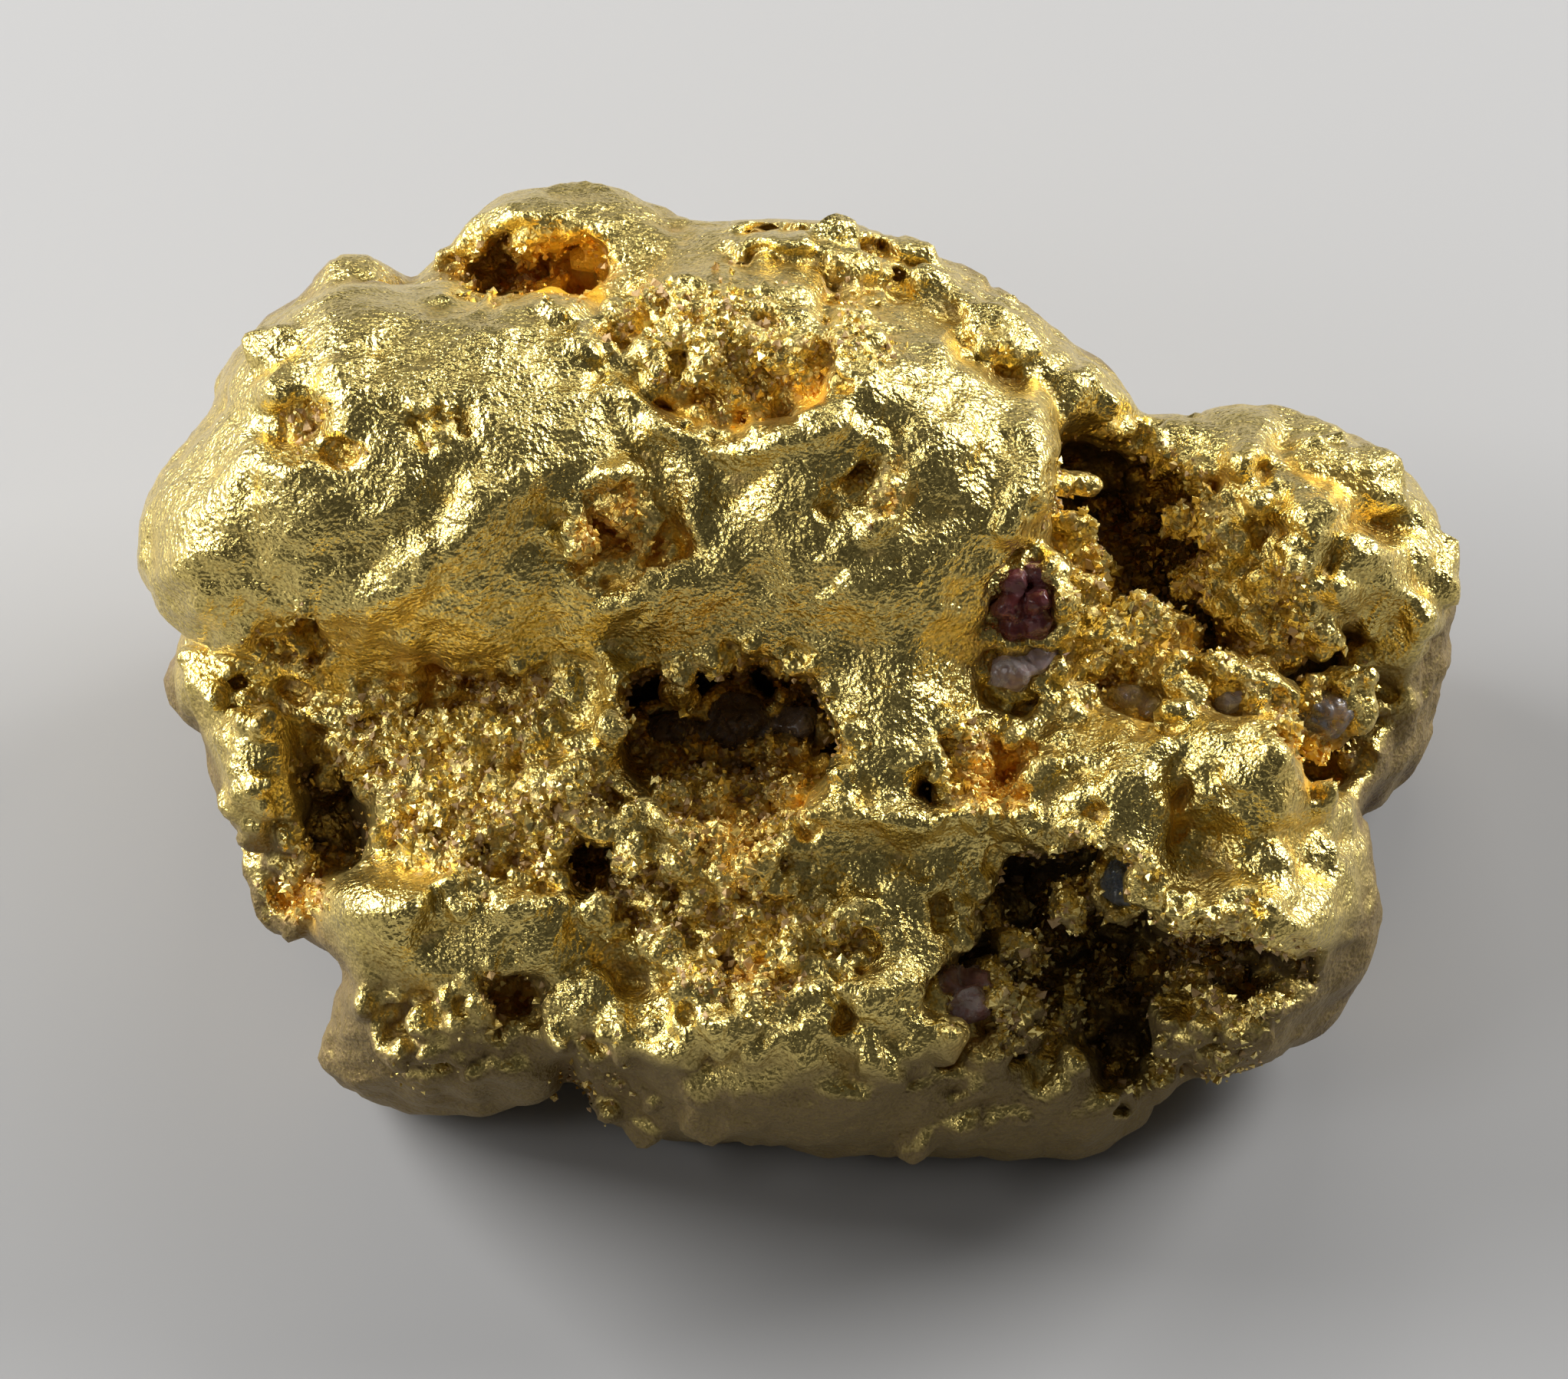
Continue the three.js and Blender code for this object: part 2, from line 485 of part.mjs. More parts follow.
// Fills the grid's corner-only contacts, so that the skin is one clean surface everywhere.
function closeContacts({ field, count: [nx, ny, nz] }) {
  const [X, Y, Z] = [1, nx, nx * ny];
  const filled = (a) => field[a] < 0;
  const barelyFilled = -CELL / 50;
  let changes = 1;
  while (changes > 0) {
    changes = 0;
    for (let a = Z + Y + X; a < field.length - Z - Y - X; a++) {
      for (const [u, v] of [[X, Y], [X, Z], [Y, Z]]) {
        const own = filled(a);
        if (own === filled(a + u + v) && filled(a + u) === filled(a + v) && own !== filled(a + u)) {
          field[own ? a + u : a] = barelyFilled;
          changes++;
        }
      }
      const corners = [0, X, Y, Z, X + Y, X + Z, Y + Z, X + Y + Z].map((step) => a + step);
      for (let n = 0; n < corners.length / 2; n++) {
        const [p, q] = [corners[n], corners[corners.length - 1 - n]];
        if (filled(p) === filled(q) && corners.filter((c) => filled(c) === filled(p)).length === 2) {
          field[filled(p) ? (p === a ? a + X : a) : p] = barelyFilled;
          changes++;
        }
      }
    }
  }
}

// The field's zero surface, with one vertex in each grid cell that it crosses.
function skinGeometry({ field, count: [nx, ny, nz] }) {
  const step = [1, nx, nx * ny];
  const vertexOf = new Int32Array(field.length).fill(-1);
  const positions = [];
  for (let k = 0; k < nz - 1; k++) {
    for (let j = 0; j < ny - 1; j++) {
      for (let i = 0; i < nx - 1; i++) {
        const a = i + nx * (j + ny * k);
        const sum = [0, 0, 0];
        let crossings = 0;
        for (let axis = 0; axis < 3; axis++) {
          for (const [s, t] of [[0, 0], [1, 0], [0, 1], [1, 1]]) {
            const offset = [0, 0, 0];
            offset[(axis + 1) % 3] = s;
            offset[(axis + 2) % 3] = t;
            const low = a + offset[0] + offset[1] * step[1] + offset[2] * step[2];
            const from = field[low];
            const to = field[low + step[axis]];
            if (from < 0 === to < 0) {
              continue;
            }
            offset[axis] = from / (from - to);
            offset.forEach((value, n) => {
              sum[n] += value;
            });
            crossings++;
          }
        }
        if (crossings > 0) {
          vertexOf[a] = positions.length / 3;
          [i, j, k].forEach((cell, n) => positions.push(FIELD_MIN[n] + (cell + sum[n] / crossings) * CELL));
        }
      }
    }
  }
  const index = [];
  for (let k = 1; k < nz - 1; k++) {
    for (let j = 1; j < ny - 1; j++) {
      for (let i = 1; i < nx - 1; i++) {
        const a = i + nx * (j + ny * k);
        for (let axis = 0; axis < 3; axis++) {
          if (field[a] < 0 === field[a + step[axis]] < 0) {
            continue;
          }
          const u = step[(axis + 1) % 3];
          const v = step[(axis + 2) % 3];
          const quad = [a - u - v, a - v, a, a - u].map((cell) => vertexOf[cell]);
          if (field[a] >= 0) {
            quad.reverse();
          }
          index.push(quad[0], quad[1], quad[2], quad[0], quad[2], quad[3]);
        }
      }
    }
  }
  const geometry = new THREE.BufferGeometry();
  geometry.setAttribute("position", new THREE.Float32BufferAttribute(positions, 3));
  geometry.setIndex(index);
  return geometry;
}

function solidOf(geometry) {
  return new wasm.Manifold(new wasm.Mesh({
    numProp: 3,
    vertProperties: geometry.attributes.position.array,
    triVerts: new Uint32Array(geometry.index.array),
  }));
}

function geometryOf(solid) {
  const mesh = solid.getMesh();
  const geometry = new THREE.BufferGeometry();
  geometry.setAttribute("position", new THREE.BufferAttribute(mesh.vertProperties, 3));
  geometry.setIndex(new THREE.BufferAttribute(mesh.triVerts, 1));
  return geometry;
}

// The one connected skin that holds the most metal, without specks and sealed bubbles.
function largestPart(solid) {
  return solid.decompose().reduce((best, part) => (part.volume() > best.volume() ? part : best));
}

function weld(geometry) {
  const bare = geometry.clone();
  bare.deleteAttribute("normal");
  bare.deleteAttribute("uv");
  return mergeVertices(bare, 1e-4);
}

// Everything under the ground plane is worn away, which leaves the flats of the feet.
function wearFeet(solid) {
  const { width, depth } = GROUND_SLAB;
  const slab = weld(new THREE.BoxGeometry(width, width, depth));
  slab.translate(0, 0, -depth / 2);
  slab.applyMatrix4(face.matrixWorld.clone().invert());
  return solid.subtract(solidOf(slab));
}

async function goldGeometry() {
  const grid = goldField();
  closeContacts(grid);
  const fine = geometryOf(largestPart(solidOf(skinGeometry(grid))));
  const surplus = fine.attributes.position.count - GOLD_TRIANGLES / 2;
  const plain = await new SimplifyModifier().modify(fine, surplus);
  const worn = largestPart(wearFeet(largestPart(solidOf(plain))));
  return geometryOf(worn);
}

// An angular grain: a ball cut back by random flats, so that its faces are plane.
function grainGeometry({ at, radii, roll }, seed) {
  const ball = weld(new THREE.IcosahedronGeometry(1, GRAIN_DETAIL));
  const flats = [];
  for (let i = 0; i < GRAIN_FLATS; i++) {
    const turn = i * 2.4 + seed * 1.7; // 2.4 radians spread the flats evenly round
    const rise = 1 - (2 * i + 1) / GRAIN_FLATS;
    const across = Math.sqrt(1 - rise * rise);
    const normal = new THREE.Vector3(across * Math.cos(turn), across * Math.sin(turn), rise);
    flats.push([normal, GRAIN_CUT.reach + GRAIN_CUT.spread * Math.sin(seed * 5.1 + i * 2.3)]);
  }
  const point = new THREE.Vector3();
  const position = ball.attributes.position;
  for (let i = 0; i < position.count; i++) {
    point.fromBufferAttribute(position, i);
    for (const [flat, reach] of flats) {
      const over = point.dot(flat) / reach;
      if (over > 1) {
        point.divideScalar(over);
      }
    }
    position.setXYZ(i, point.x, point.y, point.z);
  }
  ball.scale(...radii);
  ball.rotateZ(THREE.MathUtils.degToRad(roll));
  ball.translate(...at);
  return ball;
}

function material(colour, roughness, metalness) {
  return new THREE.MeshStandardMaterial({ color: colour, roughness, metalness });
}

function addMesh(name, geometry, surface) {
  geometry.computeVertexNormals();
  const mesh = new THREE.Mesh(geometry, surface);
  mesh.name = name;
  face.add(mesh);
}

addMesh("gold", await goldGeometry(), material(GOLD.colour, GOLD.roughness, GOLD.metalness));
Object.entries(QUARTZ).forEach(([name, { colour, roughness, lumps }], order) => {
  const solid = lumps
    .map((lump, i) => solidOf(grainGeometry(lump, order * 3 + i)))
    .reduce((whole, lump) => whole.add(lump));
  addMesh(name, geometryOf(solid), material(colour, roughness, 0));
});

// The middle of the footprint is the origin.
const box = new THREE.Box3().setFromObject(nugget, true);
face.position.x -= (box.min.x + box.max.x) / 2;
face.position.y -= (box.min.y + box.max.y) / 2;

export default nugget;
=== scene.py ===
"""Looks of a gold nugget: its fine skin, its caught grains of quartz, their finishes, and the view."""

import logging
import math
from dataclasses import dataclass, field
from enum import Enum

import bmesh
import bpy
import numpy as np
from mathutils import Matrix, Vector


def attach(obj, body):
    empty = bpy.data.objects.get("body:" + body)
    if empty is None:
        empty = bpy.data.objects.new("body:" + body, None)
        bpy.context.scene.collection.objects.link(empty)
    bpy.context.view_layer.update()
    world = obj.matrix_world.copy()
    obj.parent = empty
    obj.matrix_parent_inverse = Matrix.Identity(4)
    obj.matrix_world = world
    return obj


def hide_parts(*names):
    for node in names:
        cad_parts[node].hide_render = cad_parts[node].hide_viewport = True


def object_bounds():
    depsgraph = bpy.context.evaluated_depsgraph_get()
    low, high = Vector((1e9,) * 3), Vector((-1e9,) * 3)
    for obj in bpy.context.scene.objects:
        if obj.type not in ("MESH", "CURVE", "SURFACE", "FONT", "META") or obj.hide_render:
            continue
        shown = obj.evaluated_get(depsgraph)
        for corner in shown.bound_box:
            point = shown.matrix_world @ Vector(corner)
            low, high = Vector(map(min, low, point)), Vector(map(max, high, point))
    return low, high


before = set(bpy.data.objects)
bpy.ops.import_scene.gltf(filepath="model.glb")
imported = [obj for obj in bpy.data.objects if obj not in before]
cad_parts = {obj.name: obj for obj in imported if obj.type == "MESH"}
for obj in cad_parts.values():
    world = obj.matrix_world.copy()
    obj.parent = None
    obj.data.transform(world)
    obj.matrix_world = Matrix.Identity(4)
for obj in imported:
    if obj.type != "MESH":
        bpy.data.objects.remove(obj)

import openvdb as vdb
from mathutils import Matrix, Vector

LOG = logging.getLogger("nugget")
CAD_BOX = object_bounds()
MM = 0.001
FAR = 9.0  # a distance that is larger than any in a grain's block, in millimetres

# The leaning face's own frame: right, up and near, in millimetres from its middle.
FACE_LEAN = math.radians(35)
FACE_MIDDLE = np.array((-0.062, -0.759, 5.5))
RIGHT = np.array((1.0, 0.0, 0.0))
UP = np.array((0.0, math.cos(FACE_LEAN), math.sin(FACE_LEAN)))
NEAR = np.array((0.0, -math.sin(FACE_LEAN), math.cos(FACE_LEAN)))
FACE_AXES = np.stack((RIGHT, UP, NEAR))


def to_face(points: np.ndarray) -> np.ndarray:
    """Row frame in metres to face frame in millimetres."""
    return (points / MM - FACE_MIDDLE) @ FACE_AXES.T


def to_row(points: np.ndarray) -> np.ndarray:
    """Face frame in millimetres to row frame in metres."""
    return (points @ FACE_AXES + FACE_MIDDLE) * MM


def smooth_min(a: np.ndarray, b: np.ndarray, blend: float) -> np.ndarray:
    """The lower of two fields, rounded over where they meet.

    Args:
        a: one field.
        b: the other field.
        blend: width of the rounding, in the fields' unit.

    Returns:
        The joined field.
    """
    h = np.maximum(blend - np.abs(a - b), 0.0) / blend
    return np.minimum(a, b) - h * h * blend / 4


def path_distance(path: list[tuple[float, float]], x: np.ndarray, y: np.ndarray) -> np.ndarray:
    """Distance of each place of a plane to an open path, or to a single point.

    Args:
        path: points of the path, right and up.
        x: places to the right.
        y: places up.

    Returns:
        The distances, in the unit of the places.
    """
    nearest = np.full(np.broadcast(x, y).shape, np.inf)
    for (px, py), (qx, qy) in zip(path, path[1:] + path[-1:]):
        ex, ey = qx - px, qy - py
        length = ex * ex + ey * ey
        t = np.clip(((x - px) * ex + (y - py) * ey) / length, 0, 1) if length else 0.0
        nearest = np.minimum(nearest, np.hypot(x - px - t * ex, y - py - t * ey))
    return nearest


@dataclass
class Stroke:
    """A shallow shape of the skin: a ridge, or with a fall below zero a dent.

    Args:
        width: half width, in millimetres.
        rise: height at the middle of the path, in millimetres.
        path: points on the face, right and up.
        crest: 1 for a rounded profile, higher for a flatter one with steeper sides.
    """

    width: float
    rise: float
    path: list[tuple[float, float]]
    crest: float = 1.0

    def relief(self, x: np.ndarray, y: np.ndarray) -> np.ndarray:
        """Height of the stroke at each place."""
        away = path_distance(self.path, x, y) / self.width
        return self.rise * np.exp(-(away ** (2 * self.crest)))


@dataclass
class Spot:
    """A round place on the face, with the reach of its effect.

    Args:
        at: its middle, right and up, in millimetres.
        reach: its radius, in millimetres.
        strength: its effect at the middle.
    """

    at: tuple[float, float]
    reach: float
    strength: float = 1.0

    def mask(self, x: np.ndarray, y: np.ndarray) -> np.ndarray:
        """1 at the middle, falling to 0 past the reach."""
        return self.strength * np.exp(-((np.hypot(x - self.at[0], y - self.at[1]) / self.reach) ** 4))


def spots(*rows: tuple[float, ...]) -> list[Spot]:
    """Makes spots from a table.

    Args:
        rows: right, up, reach and, where it isn't 1, strength of each.

    Returns:
        The spots.
    """
    return [Spot((x, y), reach, *strength) for x, y, reach, *strength in rows]


@dataclass
class Hollow:
    """A deep hollow, cut from the near side.

    Args:
        floor: depth of its floor in the face's frame, in millimetres.
        mouth: outline of its opening, right and up.
    """

    floor: float
    mouth: list[tuple[float, float]]

    def outline(self, x: np.ndarray, y: np.ndarray) -> np.ndarray:
        """Distance to the opening's outline.

        Args:
            x: places to the right, in millimetres.
            y: places up, in millimetres.

        Returns:
            The distances, below zero inside the opening.
        """
        away = path_distance(self.mouth + self.mouth[:1], x, y)
        inside = np.zeros(away.shape, bool)
        for (px, py), (qx, qy) in zip(self.mouth, self.mouth[1:] + self.mouth[:1]):
            if py == qy:
                continue
            crosses = ((py > y) != (qy > y)) & (x < (qx - px) * (y - py) / (qy - py) + px)
            inside ^= crosses
        return np.where(inside, -away, away)


HOLLOWS = [Hollow(*row) for row in [
    # Between the middle and the right-hand lobe.
    (-4.2, [
        (4.4, 3.9), (5.3, 3.75), (6.0, 3.4), (6.7, 2.8), (6.9, 2.1), (6.6, 1.5), (6.9, 0.9), (7.0, 0.3),
        (6.5, 0.25), (5.9, 0.9), (5.2, 1.1), (4.85, 1.9), (4.5, 2.5), (4.35, 3.1),
    ]),
    (0.7, [(4.35, 2.7), (5.0, 2.7), (5.3, 1.6), (5.1, 0.9), (4.6, 0.9), (4.4, 1.8)]),
    # Lower right: the near wall, the far end and the outlet.
    (-1.5, [
        (3.6, -3.3), (4.6, -3.05), (5.5, -3.25), (5.7, -4.1), (5.3, -5.1), (4.5, -5.5), (3.7, -5.3),
        (3.2, -4.7), (3.35, -4.0),
    ]),
    (0.9, [(3.4, -3.9), (2.7, -4.6), (2.35, -5.2), (2.6, -5.8), (3.5, -5.5), (3.6, -4.6)]),
    (-0.5, [(6.5, -4.6), (7.4, -4.5), (8.1, -4.7), (8.2, -5.1), (7.8, -5.45), (7.0, -5.3), (6.3, -5.1)]),
    (-0.9, [(5.2, -5.1), (5.9, -5.2), (6.0, -6.2), (5.8, -6.8), (5.2, -6.5), (4.9, -6.0)]),
    # The central hole's dark upper half.
    (-1.6, [
        (-2.85, -0.35), (-2.3, -0.2), (-1.95, -0.5), (-1.6, -0.15), (-0.9, 0.05), (0.0, -0.15), (0.35, -0.45),
        (0.55, -1.0), (0.8, -1.45), (0.2, -1.35), (-0.6, -1.5), (-1.3, -1.35), (-1.9, -1.7), (-2.3, -2.0),
        (-2.7, -1.6), (-2.9, -0.9),
    ]),
    # The right-hand pocket.
    (-3.4, [(8.5, 0.1), (9.2, 0.15), (9.5, -0.5), (9.2, -1.0), (8.6, -0.3)]),
    # Beside the small left lump.
    (-1.0, [
        (-8.05, -1.6), (-7.6, -1.4), (-7.25, -1.8), (-7.35, -2.5), (-7.6, -3.2), (-7.95, -3.2), (-8.05, -2.2),
    ]),
    # The groove under the upper left lobe.
    (0.2, [(-8.9, 0.5), (-8.2, 0.7), (-7.6, 0.35), (-7.9, 0.05), (-8.6, 0.1)]),
    (0.6, [(-6.0, -0.2), (-5.2, -0.35), (-4.2, -0.5), (-4.1, -0.75), (-5.2, -0.85), (-6.0, -0.6)]),
    # Under the top lobe.
    (-3.6, [(-5.6, 6.6), (-4.9, 6.95), (-3.9, 7.0), (-3.2, 6.9), (-3.2, 6.45), (-3.8, 6.3), (-4.8, 6.3)]),
    # The pit in the lower bar's left end, and the gap above the bar.
    (1.2, [(-5.1, -5.2), (-4.5, -5.05), (-4.2, -5.4), (-4.4, -5.8), (-5.0, -5.75)]),
    (0.4, [(-3.7, -3.15), (-3.2, -3.05), (-3.0, -3.4), (-3.4, -3.55)]),
]]


@dataclass
class Arm:
    """A rough arm or crumb that stands in a hollow.

    Args:
        start: one end in the face's frame, in millimetres.
        end: the other end.
        radius: half thickness, in millimetres.
    """

    start: tuple[float, float, float]
    end: tuple[float, float, float]
    radius: float


ARMS = [Arm(*row) for row in [
    # In the hollow beside the right-hand lobe.
    ((4.2, 3.1, 0.6), (4.85, 3.0, 0.6), 0.18),
    ((4.3, 2.1, 1.1), (4.65, 2.05, 1.3), 0.26),
    ((4.5, 0.6, 1.0), (4.6, 1.2, 1.2), 0.2),
    ((5.3, 0.2, 1.4), (5.6, 0.75, 1.2), 0.36),
    ((6.9, 2.6, 0.4), (6.3, 2.4, -0.2), 0.25),
    ((7.1, 1.5, 0.2), (6.5, 1.5, -0.4), 0.28),
    # In the lower right hollow.
    ((3.4, -4.6, 1.7), (4.2, -4.9, 1.2), 0.22),
    ((4.45, -3.75, 1.7), (4.65, -4.9, 1.9), 0.24),
    ((4.75, -3.6, 1.2), (4.9, -4.5, 1.3), 0.18),
    ((3.3, -5.6, 2.2), (4.5, -5.7, 1.9), 0.26),
    ((6.5, -5.3, 0.9), (6.2, -5.75, 1.2), 0.26),
    ((6.2, -6.1, 0.9), (6.9, -6.2, 1.3), 0.28),
    ((7.2, -5.9, 0.7), (7.6, -6.2, 0.8), 0.25),
    ((6.0, -6.9, 0.2), (6.3, -6.3, 0.8), 0.2),
    # The crumbly masses that fill the crater and the barred pit.
    ((-2.1, 4.95, 2.2), (0.0, 5.0, 2.3), 0.75),
    ((-2.4, 5.6, 1.9), (-0.2, 5.7, 2.1), 0.6),
    ((-3.05, 2.4, 2.15), (-2.7, 1.75, 2.1), 0.6),
    # In the central hole.
    ((-1.9, 0.2, 2.4), (-1.9, -0.5, 1.7), 0.2),
    ((-2.8, -1.3, 0.6), (-1.9, -1.75, 0.2), 0.22),
    ((0.5, -1.6, 0.6), (-0.3, -1.7, 0.0), 0.25),
    # The bars across the pit.
    ((-3.8, 2.72, 3.5), (-2.1, 2.66, 3.3), 0.2),
    ((-3.8, 2.25, 3.45), (-2.2, 2.2, 3.25), 0.19),
    ((-3.7, 1.8, 3.3), (-2.3, 1.75, 3.1), 0.19),
    # In the small pits.
    ((-8.2, 4.3, 1.8), (-8.15, 3.6, 1.6), 0.12),
    ((-4.7, -4.9, 2.2), (-4.6, -5.8, 1.8), 0.14),
]]

# Each row has the half width, the rise, the path and, where it isn't 1, the crest.
STROKES = [Stroke(*row) for row in [
    # The upper left lobe.
    (0.5, 0.22, [(-10.2, 1.6), (-9.6, 2.9), (-8.6, 4.4), (-7.4, 5.6)]),
    (0.3, -0.12, [(-8.4, 4.0), (-7.9, 3.8)], 1.6),
    (0.2, -0.08, [(-7.3, 3.3)], 1.5),
    (0.26, -0.08, [(-6.1, 3.85), (-5.5, 3.95)], 1.4),
    (0.12, -0.15, [(-5.4, 4.25)]),
    (0.22, 0.13, [(-7.2, 0.9), (-5.8, 1.9), (-4.9, 2.6)]),
    (0.35, 0.18, [(-7.0, 1.9), (-5.4, 3.0)]),
    (0.22, 0.12, [(-6.9, 2.2), (-6.2, 2.9), (-5.8, 3.4)]),
    (0.35, 0.2, [(-9.3, 4.7), (-8.6, 5.6), (-7.4, 6.5)]),
    (0.3, 0.15, [(-4.5, 7.35), (-4.3, 7.4)]),
    (0.4, 0.25, [(-7.3, 6.6)]),
    # The crater and the top.
    (0.28, 0.3, [(-3.7, 6.0), (-2.9, 4.7), (-2.3, 3.95), (-1.2, 3.6), (-0.3, 3.7), (0.7, 4.1)]),
    (1.15, 0.7, [(-1.9, 5.4), (-0.5, 5.4)], 2.0),
    (0.48, 1.3, [(-2.4, 4.75), (-1.2, 4.45), (0.1, 4.75)], 2.0),
    (0.12, -0.35, [(-2.65, 4.5), (-2.2, 4.15), (-1.5, 3.98), (-0.85, 4.0)]),
    (0.12, -0.35, [(-0.2, 4.15), (0.3, 4.5)]),
    (0.17, -0.6, [(-1.8, 5.9)]),
    (0.12, -0.4, [(-2.9, 5.6), (-2.7, 5.2)]),
    (0.14, -0.1, [(-0.8, 6.7), (0.2, 6.45), (1.9, 6.2), (2.5, 5.9)]),
    (0.2, 0.25, [(-0.9, 7.0), (0.6, 6.8), (2.2, 6.5)]),
    (0.2, 0.1, [(2.8, 5.7), (3.3, 5.15), (4.1, 4.8)]),
    (0.3, 0.25, [(2.6, 6.1), (3.4, 5.6), (4.6, 4.75), (5.2, 4.5)]),
    (0.2, 0.25, [(1.0, 5.9), (1.05, 4.6)]),
    # The barred pit.
    (0.75, 0.7, [(-2.9, 2.5), (-2.75, 1.7)], 1.8),
    (0.18, -0.35, [(-3.2, 1.35), (-2.9, 1.4)]),
    (0.22, 0.12, [(-1.75, 3.2), (-1.6, 2.2)]),
    (0.25, 0.12, [(-3.4, 0.9), (-2.2, 1.1), (-1.2, 1.6)]),
    # The middle lobe.
    (0.2, -0.12, [(1.6, 3.85)], 1.5),
    (0.2, -0.25, [(1.1, 3.3)]),
    (0.4, -0.08, [(0.8, 2.6), (1.5, 3.1), (2.2, 2.7)]),
    (0.2, -0.3, [(0.3, 2.6)]),
    (0.2, -0.08, [(1.5, 1.75)]),
    (0.3, 0.25, [(3.8, 4.6), (3.9, 3.4), (3.6, 2.4)]),
    (0.28, 0.3, [(4.25, 2.75)]),
    # The right-hand lobe.
    (0.16, -0.08, [(8.1, 3.7), (8.6, 3.3), (9.1, 2.9), (9.7, 2.5)]),
    (0.6, 0.5, [(8.5, 2.3)], 1.6),
    (0.35, 0.35, [(9.3, 1.9)], 1.5),
    (0.38, 0.3, [(7.4, 3.4)], 1.5),
    (0.35, 0.3, [(7.7, 2.4)], 1.5),
    (0.38, 0.35, [(8.2, 1.5)], 1.5),
    (0.3, 0.3, [(9.0, 1.2)], 1.5),
    (0.3, 0.3, [(9.9, 1.4), (10.2, 0.7)], 1.5),
    (0.35, 0.3, [(9.5, 2.9), (8.7, 3.6)], 1.5),
    (0.3, -0.2, [(7.3, 0.7), (8.4, 0.45), (9.4, 0.4)], 1.5),
    (0.22, -0.4, [(7.9, 2.9), (8.0, 2.0), (7.7, 1.2)]),
    (0.2, -0.35, [(8.0, 1.0), (8.8, 1.7), (9.0, 2.3), (9.7, 2.4)]),
    # The folds and cracks above the crater.
    (0.1, -0.4, [(1.0, 6.95), (1.6, 6.7), (2.2, 6.6)]),
    (0.12, -0.35, [(1.3, 6.4), (1.9, 6.3)]),
    (0.18, 0.25, [(-0.9, 7.45), (0.6, 7.35), (1.8, 7.1)]),
    (0.15, 0.2, [(-1.1, 6.95), (0.2, 6.85)]),
    (0.13, -0.25, [(-0.8, 7.2), (0.4, 7.1)]),
    # The crusty ridge and the hammered lump.
    (0.14, -0.2, [(6.2, -1.9), (6.3, -2.9)]),
    (0.3, 0.3, [(4.1, -2.7), (5.0, -2.75), (5.6, -3.4), (6.2, -3.9), (7.2, -3.9), (8.3, -4.3)]),
    (0.8, 0.4, [(4.9, -1.9), (5.4, -2.0)]),
    (0.7, 0.4, [(7.0, -1.4), (7.7, -2.0)]),
    (0.5, -0.25, [(6.4, -3.3), (7.6, -3.2)]),
    (0.6, 0.8, [(6.6, -5.9), (7.4, -6.0)], 1.5),
    (0.4, -0.22, [(6.9, -3.1)]),
    (0.35, -0.2, [(8.2, -3.0)]),
    (0.25, -0.2, [(7.6, -2.4), (8.8, -2.9)]),
    # The small left lump.
    (0.55, 0.4, [(-8.9, -1.0), (-8.6, -1.7), (-8.3, -2.5)], 1.5),
    (0.18, 0.25, [(-8.7, -0.9), (-8.4, -1.8), (-8.1, -2.6)]),
    (0.2, -0.4, [(-9.5, -0.6), (-8.7, -0.5), (-8.0, -0.7)]),
    (0.2, -0.35, [(-8.9, -3.0), (-8.3, -3.1), (-7.9, -3.3)]),
    # The crusty slope and the central hole.
    (0.26, 0.35, [(-3.0, 0.0), (-2.95, -0.9), (-3.8, -2.2)]),
    (0.16, -0.25, [(-5.4, -0.7), (-4.2, -0.75)]),
    (1.0, 0.35, [(-6.4, -1.9), (-4.6, -1.8)], 1.5),
    (0.9, 0.4, [(-1.6, -4.3), (0.0, -4.5)], 1.5),
    (0.6, 0.5, [(-1.9, -2.4), (-0.6, -2.7), (0.3, -2.3)], 1.4),
    # The lower bar.
    (0.5, 0.55, [(-7.3, -3.9), (-6.6, -4.1)], 1.3),
    (0.3, 0.3, [(-7.4, -4.6), (-7.2, -5.6)]),
    (0.35, 0.25, [(-6.4, -3.75), (-5.6, -3.6), (-4.0, -3.9)]),
    (0.3, 0.25, [(-3.2, -5.6), (-1.6, -5.5), (0.2, -5.9)]),
    (0.25, -0.2, [(-3.6, -5.0), (-2.2, -5.1)]),
    (0.25, 0.2, [(0.6, -4.3), (1.6, -3.7), (2.4, -3.5)]),
    (0.3, -0.2, [(0.6, -6.6), (2.6, -7.0)]),
    (0.2, 0.35, [(-3.0, -4.1), (-2.5, -4.4), (-1.9, -4.9)]),
    (0.13, -0.4, [(-2.2, -3.75), (-2.0, -4.1), (-1.5, -4.0)]),
    (0.2, -0.35, [(-0.7, -5.15)], 1.4),
    (0.13, -0.35, [(1.2, -5.0), (0.9, -5.4), (0.5, -5.9)]),
    (0.16, 0.3, [(-5.4, -5.7), (-5.0, -6.2)]),
    (0.2, -0.35, [(-5.5, -6.15), (-5.1, -6.2)]),
    (0.2, 0.3, [(-3.9, -6.3), (-3.0, -6.1), (-2.0, -6.4), (-1.5, -5.9)]),
    (0.2, -0.5, [(-3.9, -6.6), (-3.7, -7.2)]),
    (0.22, 0.3, [(1.2, -2.6), (2.2, -2.5), (3.2, -2.65), (4.0, -2.7)]),
    (0.65, 0.8, [(3.0, -1.6), (3.6, -1.9)], 1.5),
    (0.12, -0.6, [(2.04, -2.1)]),
    (0.14, -0.6, [(2.7, -2.0)]),
    (0.2, 0.3, [(2.3, -1.5), (2.4, -2.3)]),
    (0.18, -0.4, [(2.3, -6.4), (2.9, -6.5)]),
    (0.16, -0.4, [(3.2, -6.2), (3.7, -6.3)]),
    (0.14, -0.35, [(5.4, -7.2)]),
]]

